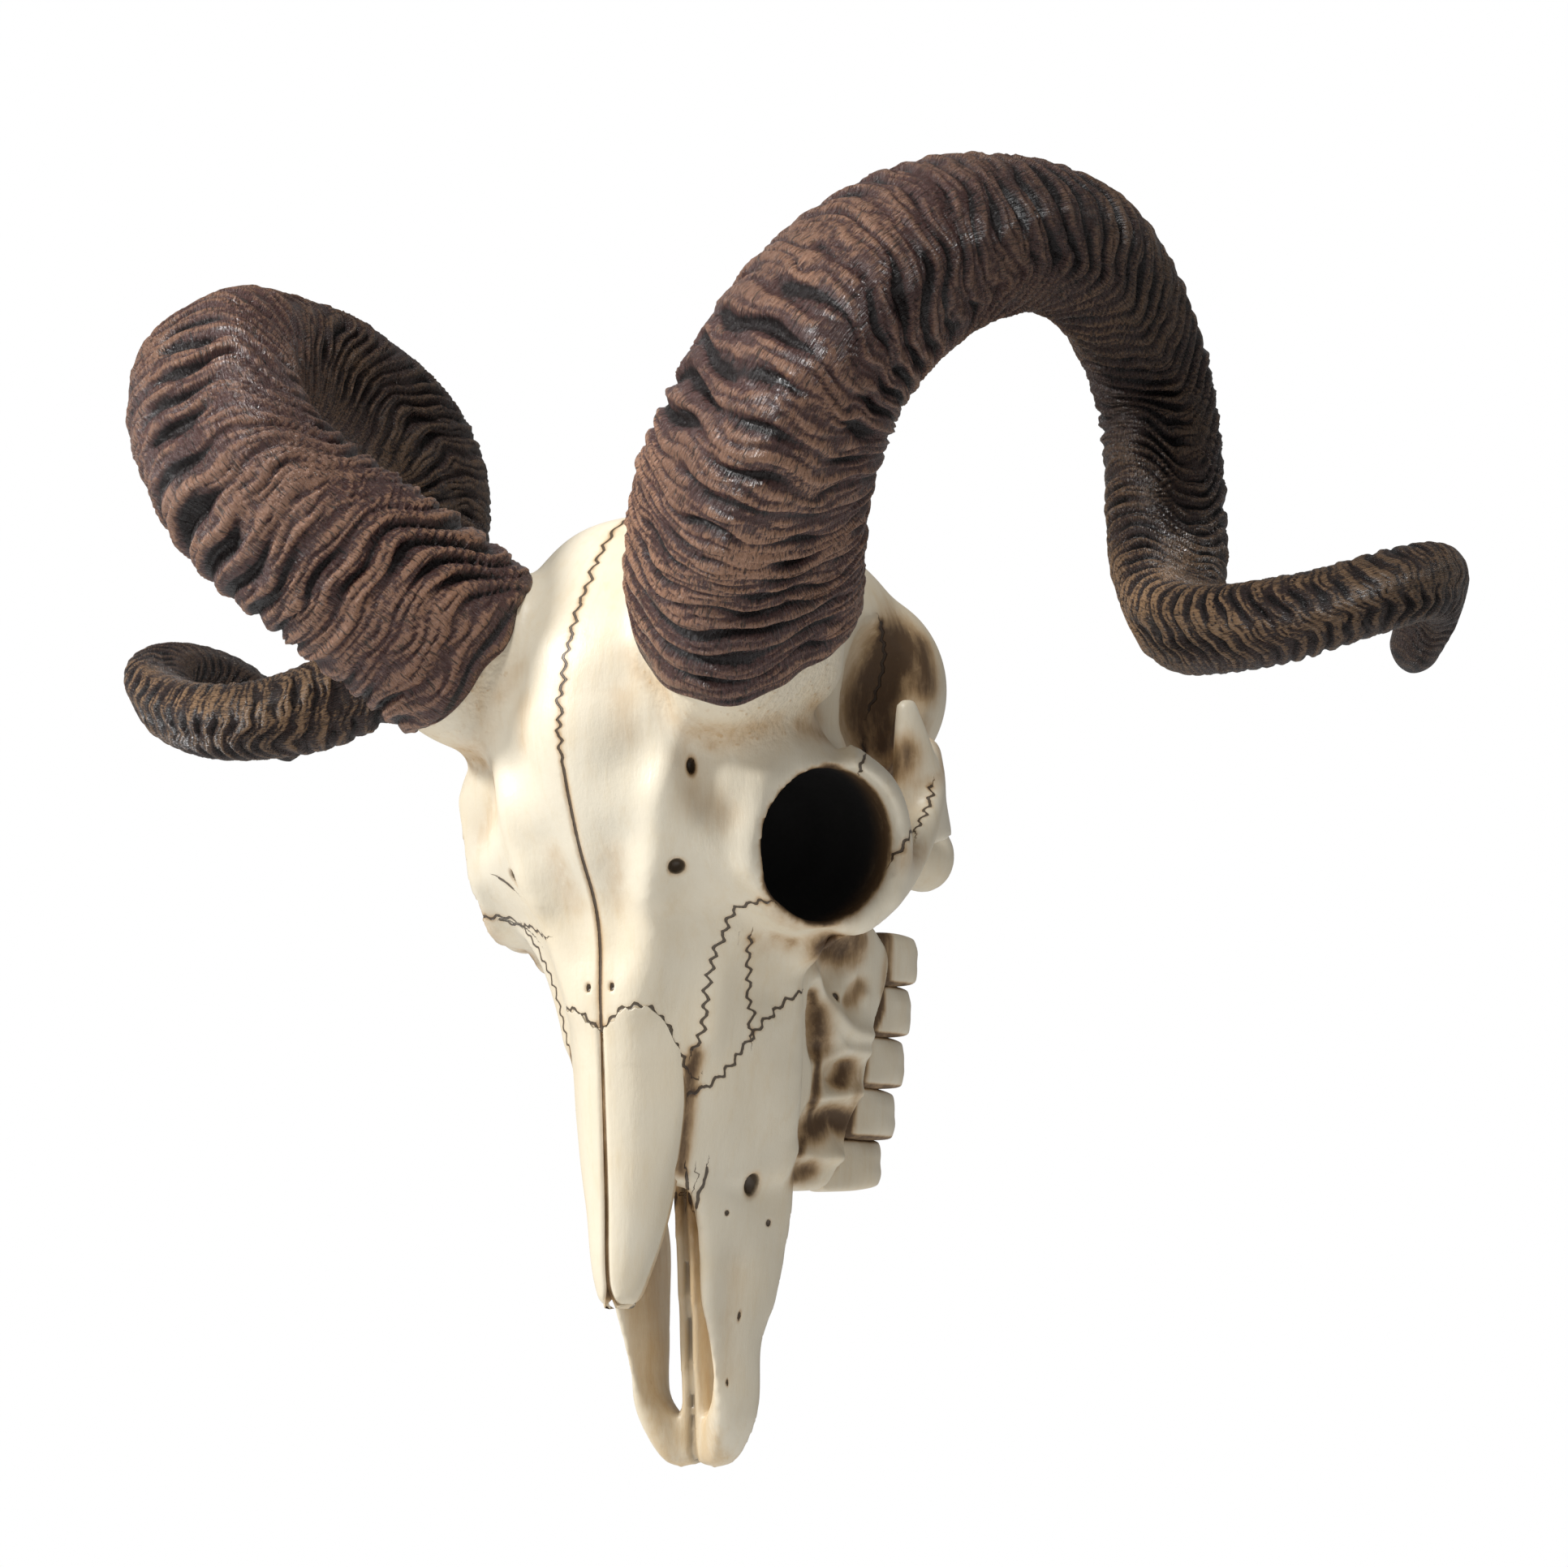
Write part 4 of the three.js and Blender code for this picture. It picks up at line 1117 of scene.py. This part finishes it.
def markWash(mesh, tree, marks):
    points = readPoints(mesh)
    washAndShade = np.zeros(len(points))
    for reach, strength, pixels in marks:
        path = dropped(tree, pixels)
        if not len(path):
            continue
        for side in (1, -1):
            distance = segmentDistance(points * [side, 1, 1], path, reach * 3.5)
            washAndShade = np.maximum(washAndShade, strength * hill(distance, reach))
    return washAndShade


# A seam gives its surroundings a signed distance from it, a place along it and its swing.
def markSeam(points, normals, line, run, swing, seam, nearest):
    inReach = (points > line.min(axis=0) - 5) & (points < line.max(axis=0) + 5)
    near = np.flatnonzero(inReach.all(axis=1))
    for a, b in zip(line[:-1], line[1:]):
        step = b - a
        length = np.linalg.norm(step)
        offset = points[near] - a
        t = np.clip(offset @ step / length ** 2, 0, 1)
        away = offset - t[:, None] * step
        distance = np.linalg.norm(away, axis=1)
        sign = np.sign((np.cross(normals[near], step) * away).sum(axis=1))
        place = np.stack([sign * distance, run + t * length, np.full(len(near), swing)], axis=1)
        better = distance < nearest[near]
        nearest[near[better]] = distance[better]
        seam[near[better]] = place[better]
        run += length


# Seams that meet are kept in two layers, and the first one also holds the midline.
def markSeams(mesh, tree):
    points, normals = readPoints(mesh), readNormals(mesh)
    count = len(points)
    layers = {name: (np.zeros((count, 3)), np.full(count, 9.0)) for name in ("seamA", "seamB")}
    for index, (name, (swing, pixels)) in enumerate(seamLines.items()):
        layer = layers["seamB" if name in ("cheek", "arch") else "seamA"]
        path = dropped(tree, pixels, 6)
        if len(path) < 2:
            print("no surface under", name)
            continue
        markSeam(points, normals, path, 40.0 * index, swing, *layer)
        if path[0, 0] >= 0:
            markSeam(points, normals, path * [-1, 1, 1], 40.0 * index, swing, *layer)
    seam, nearest = layers["seamA"]
    x, y, z = points.T
    middle = (np.abs(x) < 4.5) & (y < 0) & (z > -66)
    seam[middle] = np.stack([x, z + 400, 1.1 * smoothStep(8, 22, z)], axis=1)[middle]
    nearest[middle] = np.abs(x[middle])
    for name, (seam, nearest) in layers.items():
        layer = mesh.attributes.new(name, "FLOAT_VECTOR", "POINT")
        layer.data.foreach_set("vector", seam.astype(np.float32).ravel())
        writeValues(mesh, name + "Near", 1 - smoothStep(2.6, 4.2, nearest))


def markHoles(mesh, tree):
    points, normals = readPoints(mesh), readNormals(mesh)
    pit = np.full(len(points), 4.0)
    lift = np.zeros(len(points))
    for middle, across, upward, lean, depth in holes.values():
        spot = dropped(tree, [middle])[0]
        near = np.linalg.norm(points - spot, axis=1) < 1.5
        normal = normals[near].mean(axis=0)
        normal /= np.linalg.norm(normal)
        tall = np.array([0, 0, 1.0]) - normal * normal[2]
        tall /= np.linalg.norm(tall)
        wide = np.cross(tall, normal)
        sine, cosine = math.sin(math.radians(lean)), math.cos(math.radians(lean))
        tall, wide = tall * cosine + wide * sine, wide * cosine - tall * sine
        for side in (1, -1):
            offset = points * [side, 1, 1] - spot
            rate = (offset @ tall / upward) ** 2 + (offset @ wide / across) ** 2
            rate = np.sqrt(rate + (offset @ normal / 5) ** 2)
            pit = np.minimum(pit, rate)
            lift -= depth * (1 - smoothStep(0.35, 1.25, rate))
    writePoints(mesh, points + normals * lift[:, None])
    writeValues(mesh, "pit", pit)


def hornDistance(points):
    stalk = lineValue(hornLine, np.linspace(0, 0.06, 12))
    offset = np.abs(points[:, 0])[:, None] * [1, 0, 0] + points * [0, 1, 1]
    return segmentDistance(offset, stalk, 60)


def hollowness(mesh, passes):
    points, edges = readPoints(mesh), readEdges(mesh)
    counts = edgeCounts(edges, len(points))
    smooth = points
    for _ in range(passes):
        smooth = neighbourMean(smooth, edges, counts)
    return ((smooth - points) * readNormals(mesh)).sum(axis=1)


def paintSkull(mesh, tree):
    points = readPoints(mesh)
    edges = readEdges(mesh)
    washAndShade = markWash(mesh, tree, washes)
    x, y, z = np.abs(points[:, 0]), points[:, 1], points[:, 2]
    onLeft = np.stack([x, y, z], axis=1)
    hollow = hollowness(mesh, 4)
    washAndShade = np.maximum(washAndShade, smoothStep(0.12, 0.5, spread(hollow, edges, 2)) * 0.75)
    groove = hill(x, 0.7) * (z < -100)
    washAndShade = np.maximum(washAndShade, 0.3 * hill(x, 1.6) * (z > -80) * (y < 0))
    middle, size = temple
    deep = np.linalg.norm((onLeft - middle) / size, axis=1)
    washAndShade = np.maximum(washAndShade, smoothStep(0.8, 0.93, deep) * (1 - smoothStep(0.93, 1.2, deep)) * 0.38)
    fromOrbit = onLeft - orbit["centre"]
    towards = fromOrbit @ orbit["axis"]
    sideways = np.linalg.norm(fromOrbit - towards[:, None] * orbit["axis"], axis=1)
    inSocket = (sideways < orbit["open"] + 1.2) & (towards < 2.5) & (towards > -orbit["depth"] - 2)
    socket = np.where(inSocket, smoothStep(-1.0, -13.0, towards), 0)
    washAndShade = np.where(inSocket, np.maximum(washAndShade, smoothStep(1.5, -1.5, towards)), washAndShade)
    nose = (x < 13.2) & (z < -97) & (y > -17)
    tan = np.where(nose, 0.6, 0) * smoothStep(-97, -103, z)
    strips = 0.5 + 0.5 * np.sin(2.6 * points[:, 0] + 1.5 * np.sin(0.11 * z) + 0.6)
    washAndShade = np.maximum(washAndShade, np.where(nose, 0.08 + 0.42 * strips ** 2 * smoothStep(-175, -135, z), 0))
    inner = (z < -112) & (x < 22) & (readNormals(mesh)[:, 0] * points[:, 0] < -3)
    tan = np.maximum(tan, np.where(inner, 0.32, 0))
    washAndShade = np.maximum(washAndShade, np.where(inner, 0.24 * hill(z + 135, 22), 0))
    stalk = hornDistance(points)
    stipple = (1 - smoothStep(27, 33, stalk)) * smoothStep(-2, 8, lineHeight(points))
    writeValues(mesh, "washAndShade", np.clip(spread(washAndShade, edges, 1), 0, 1))
    writeValues(mesh, "groove", groove)
    writeValues(mesh, "tan", spread(tan, edges, 3))
    writeValues(mesh, "socket", spread(socket, edges, 1))
    writeValues(mesh, "stipple", spread(stipple, edges, 3))


# How far out along the stalk of its horn each point lies.
def lineHeight(points):
    onLeft = points * np.where(points[:, :1] < 0, [-1, 1, 1], [1, 1, 1])
    return (onLeft - hornLine[0]) @ hornTangents[20]


def deepenMidline(mesh):
    points, normals = readPoints(mesh), readNormals(mesh)
    line = hill(points[:, 0], 0.75) * (1 - smoothStep(8, 16, points[:, 2])) * (points[:, 1] < 30)
    writePoints(mesh, points - normals * (line * np.where(points[:, 2] < -100, 1.2, 0.5))[:, None])


# Smaller faces along the lines, round the holes and in the hollows of the cheek.
def refine(mesh, tree):
    points = readPoints(mesh)
    near = (np.abs(points[:, 0]) < 2.5) & (points[:, 1] < 0)
    lines = [(3.0, pixels) for _, pixels in seamLines.values()]
    lines += [(1.6 * reach, pixels) for reach, _, pixels in toothHollow]
    for reach, pixels in lines:
        path = dropped(tree, pixels)
        for side in (1, -1):
            near |= segmentDistance(points * [side, 1, 1], path, reach) < reach
    for row in holes.values():
        for side in (1, -1):
            near |= np.linalg.norm(points * [side, 1, 1] - dropped(tree, [row[0]])[0], axis=1) < 5
    bm = bmesh.new()
    bm.from_mesh(mesh)
    edges = [edge for edge in bm.edges if all(near[vertex.index] for vertex in edge.verts)]
    bmesh.ops.subdivide_edges(bm, edges=edges, cuts=1, use_grid_fill=True)
    bm.to_mesh(mesh)
    bm.free()


skull = makeSkullMesh()
relax(skull, *casting["final"])
refine(skull, treeOf(skull))
relax(skull, *casting["refined"])
print("skull solid made", len(skull.vertices))
carveMarks(skull, treeOf(skull), reliefs + toothHollow)
relax(skull, *casting["carving"])
surface = treeOf(skull)
markSeams(skull, surface)
paintSkull(skull, surface)
markHoles(skull, surface)
deepenMidline(skull)


# One nose bone. Its top edge follows the arch of the suture, without the last stretch down the cheek.
def makeNasal():
    top = dropped(surface, seamLines["arch"][1][:-1], 4)
    archX, archZ = np.r_[0, top[:, 0], 21], np.r_[top[0, 2], top[:, 2], top[-1, 2] - 4]
    order = np.argsort(archX)
    heightAt, shareAt = through(nasal["z"]), np.linspace(0, 1, 400)

    def shape(length, turn):
        angle = 2 * math.pi * turn
        across = 0.5 - 0.5 * np.cos(angle)
        under = np.sin(angle) < 0
        reachIn = np.clip(np.abs(np.sin(angle)) * 2.2, 0, 1) ** 0.5
        x0 = 19.6 * np.sin(across * math.pi / 2)
        topZ = np.interp(x0, archX[order], archZ[order]) + 0.9 * np.sin(1.6 * x0) * np.sin(0.7 * x0 + 1)
        startShare = np.interp(-topZ, -heightAt(shareAt), shareAt)
        share = startShare + (1 - startShare) * length
        z, ridge, width, drop = nasalCurves(share)
        along = across * math.pi / 2
        inner = nasal["gap"] + 2.2 * smoothStep(0.9, 1.03, share)
        x = inner + (width - inner) * np.sin(along)
        y = ridge + drop * (1 - np.cos(along))
        # The upper part lies on the skull, and the free part keeps its height over a stretch.
        seat = np.maximum(z, nasal["free"])
        seatShare = np.interp(-seat, -heightAt(shareAt), shareAt)
        _, seatRidge, seatWidth, seatDrop = nasalCurves(seatShare)
        seatX = inner + (seatWidth - inner) * np.sin(along)
        for i in np.flatnonzero((z > nasal["lifted"]) & ~under):
            hit = surface.ray_cast(Vector((seatX[i], -90, seat[i])), Vector((0, 1, 0)))[0]
            if hit is not None:
                seatY = seatRidge[i] + seatDrop[i] * (1 - math.cos(along[i]))
                y[i] += (hit[1] - 0.5 - seatY) * smoothStep(nasal["lifted"], nasal["free"], z[i])
        depth = np.where(under, nasal["thickness"] * reachIn * (1 - 0.55 * across), 0)
        rim = smoothStep(0.8, 1.0, across) * 0.6 + 1.0 * hill(x - inner, 0.7) * (1 - under)
        end = smoothStep(0.93, 1, length)
        y = y + depth * (1 - 0.9 * end) + rim + 2.2 * end ** 2 * (1 - under)
        points = np.stack([x, y, z], axis=1)
        border = hill(1 - across, 0.02) * smoothStep(nasal["lifted"], -104, z)
        # The underside is darkened as painted shade, besides the dark lines along the inner and outer edges.
        washAndShade = np.maximum(0.45 * hill(x - inner, 0.5) * (1 - end), 0.6 * border) + 0.3 * under * (1 - end)
        ink = 0.9 * smoothStep(-0.6, -0.2, z - topZ)
        blank = np.zeros(len(x))
        return points, {"washAndShade": washAndShade, "ink": ink, "tan": 0.5 * under * (z < -100), "groove": blank,
                        "socket": blank, "stipple": blank, "pit": blank + 4}

    return skin(230, 90, shape)


finishPiece("skull_cast", skull, boneMaterial, "bone", "cranium", "maxilla_left", "maxilla_right",
            "premaxilla_left", "premaxilla_right")
nasalMesh = makeNasal()
finishPiece("nasal_right_cast", mirrored(nasalMesh), boneMaterial, "bone", "nasal_right")
finishPiece("nasal_left_cast", nasalMesh, boneMaterial, "bone", "nasal_left")
print("nose bones made")

toothRow = {
    "top": -31.5, "pitch": 16.1, "between": 0.5, "outer": [37, 34.5, 32, 28.5, 23.2], "width": 13,
    "root": [69, 67, 65, 63, 60], "crown": 91.5, "taper": 0.86, "edge": 2.0, "smoothing": 6, "lean": 0.05,
    "gum": [(0, 74), (1.5, 73), (2, 69), (3.4, 67), (4.5, 64), (5, 62)],
}


def makeTooth(index):
    bm = bmesh.new()
    bmesh.ops.create_cube(bm, size=1)
    bmesh.ops.subdivide_edges(bm, edges=bm.edges, cuts=5, use_grid_fill=True)
    tall = toothRow["pitch"] - toothRow["between"]
    root = toothRow["root"][index]
    long = toothRow["crown"] - root
    bmesh.ops.scale(bm, vec=(toothRow["width"], long, tall), verts=bm.verts)
    sharp = [edge for edge in bm.edges if edge.calc_face_angle(0) > 1]
    bmesh.ops.bevel(bm, geom=sharp, offset=toothRow["edge"], segments=4, profile=0.5, affect="EDGES",
                    material=-1)
    for _ in range(toothRow["smoothing"]):
        bmesh.ops.smooth_vert(bm, verts=bm.verts, factor=0.5, use_axis_x=True, use_axis_y=True,
                              use_axis_z=True)
    middle = toothRow["top"] - toothRow["pitch"] * (index + 0.5)
    lean = np.random.default_rng(index).uniform(-1, 1) * toothRow["lean"]
    for vertex in bm.verts:
        x, y, z = vertex.co
        reach = y / long + 0.5
        scale = (1 - (1 - toothRow["taper"]) * reach) * (0.55 + 0.45 * smoothStep(0, 0.3, reach))
        bulge = 1.9 * math.cos(math.pi * z / tall) * math.sin(math.pi * min(max(reach * 1.5 - 0.55, 0), 1))
        cleft = -0.7 * math.exp(-((z + 0.5) / 1.3) ** 2) * smoothStep(0.45, 0.85, reach)
        wave = (0.3 * math.sin(z * 0.75 + index) + 1.1 * math.cos(z * 0.2) - 0.9) * smoothStep(0.75, 1, reach)
        narrow = 1.09 - 0.1 * smoothStep(0.45, 1, reach)
        vertex.co = (x * scale + (bulge + cleft) * (1 if x > 0 else -0.4), y + wave, z * narrow + lean * y)
    bmesh.ops.translate(bm, vec=(toothRow["outer"][index] - toothRow["width"] / 2,
                                 (root + toothRow["crown"]) / 2, middle), verts=bm.verts)
    bmesh.ops.recalc_face_normals(bm, faces=bm.faces)
    mesh = bpy.data.meshes.new("tooth")
    bm.to_mesh(mesh)
    bm.free()
    return withModifier(mesh, "SUBSURF", levels=1, render_levels=1)


def makeTeeth():
    mesh = joined([makeTooth(index) for index in range(len(toothRow["outer"]))])
    points = readPoints(mesh)
    height = (toothRow["top"] - points[:, 2]) / toothRow["pitch"]
    edge = np.abs(height - np.round(height)) * toothRow["pitch"]
    gum = np.interp(height, *zip(*toothRow["gum"]))
    # Painted shade: darker where each tooth meets the gum, along the gaps between the teeth and at the far
    # end of the crown, with a faint brown over the rest.
    washAndShade = 0.85 * (1 - smoothStep(0, 3, points[:, 1] - gum)) * (1 - smoothStep(4.4, 4.8, height))
    washAndShade += 0.7 * (1 - smoothStep(0.4, 1.6, edge)) * (height > 0.5) * (height < 4.6)
    washAndShade += 0.3 * smoothStep(89, 91.5, points[:, 1]) + 0.1
    writeValues(mesh, "washAndShade", np.clip(washAndShade, 0, 1))
    for name in ("ink", "tan", "groove", "socket", "stipple"):
        writeValues(mesh, name, np.zeros(len(points)))
    writeValues(mesh, "pit", np.full(len(points), 4))
    return mesh


teeth = makeTeeth()
finishPiece("teeth_right_cast", mirrored(teeth), boneMaterial, "bone")
finishPiece("teeth_left_cast", teeth, boneMaterial, "bone")

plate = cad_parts["hanger_plate"]
plate.data.materials.clear()
plate.data.materials.append(plateMaterial)

# In metres and watts. Each light has its place, size and power.
studio = {
    "floor": -0.62, "size": 2.5, "white": rgb(0.9, 0.9, 0.9), "glow": 0.27, "seen": 1.0,
    "target": (0, -0.1, 0),
    "lights": {"key": ((-1.35, -1.4, 1.0), 0.3, 43), "top": ((0.25, -1.0, 1.4), 0.25, 17)},
}


def makeStudio():
    material, shader, _ = newMaterial("studio")
    shader.inputs["Base Color"].default_value = studio["white"]
    shader.inputs["Roughness"].default_value = 0.9
    bm = bmesh.new()
    bmesh.ops.create_grid(bm, x_segments=2, y_segments=2, size=studio["size"])
    bmesh.ops.translate(bm, vec=(0, 0, studio["floor"]), verts=bm.verts)
    mesh = bpy.data.meshes.new("floor")
    bm.to_mesh(mesh)
    bm.free()
    floor = bpy.data.objects.new("floor", mesh)
    mesh.materials.append(material)
    bpy.context.scene.collection.objects.link(floor)


def addLight(name, at, size, power):
    data = bpy.data.lights.new(name, "AREA")
    data.shape = "DISK"
    data.size = size
    data.energy = power
    light = bpy.data.objects.new(name, data)
    light.location = at
    light.rotation_euler = (Vector(studio["target"]) - Vector(at)).to_track_quat("-Z", "Y").to_euler()
    bpy.context.scene.collection.objects.link(light)


def makeWorld():
    world = bpy.data.worlds.new("studio")
    world.use_nodes = True
    tree = world.node_tree
    background = Field(tree, tree.nodes["Background"].outputs[0])
    toCamera = background.node("ShaderNodeLightPath", output="Is Camera Ray")
    strength = toCamera * (studio["seen"] - studio["glow"]) + studio["glow"]
    tree.nodes["Background"].inputs["Color"].default_value = rgb(1, 1, 1)
    tree.links.new(strength.socket, tree.nodes["Background"].inputs["Strength"])
    bpy.context.scene.world = world


makeStudio()
makeWorld()
bpy.context.scene.view_settings.view_transform = "Standard"
for lightName, settings in studio["lights"].items():
    addLight(lightName, *settings)
print("studio made")
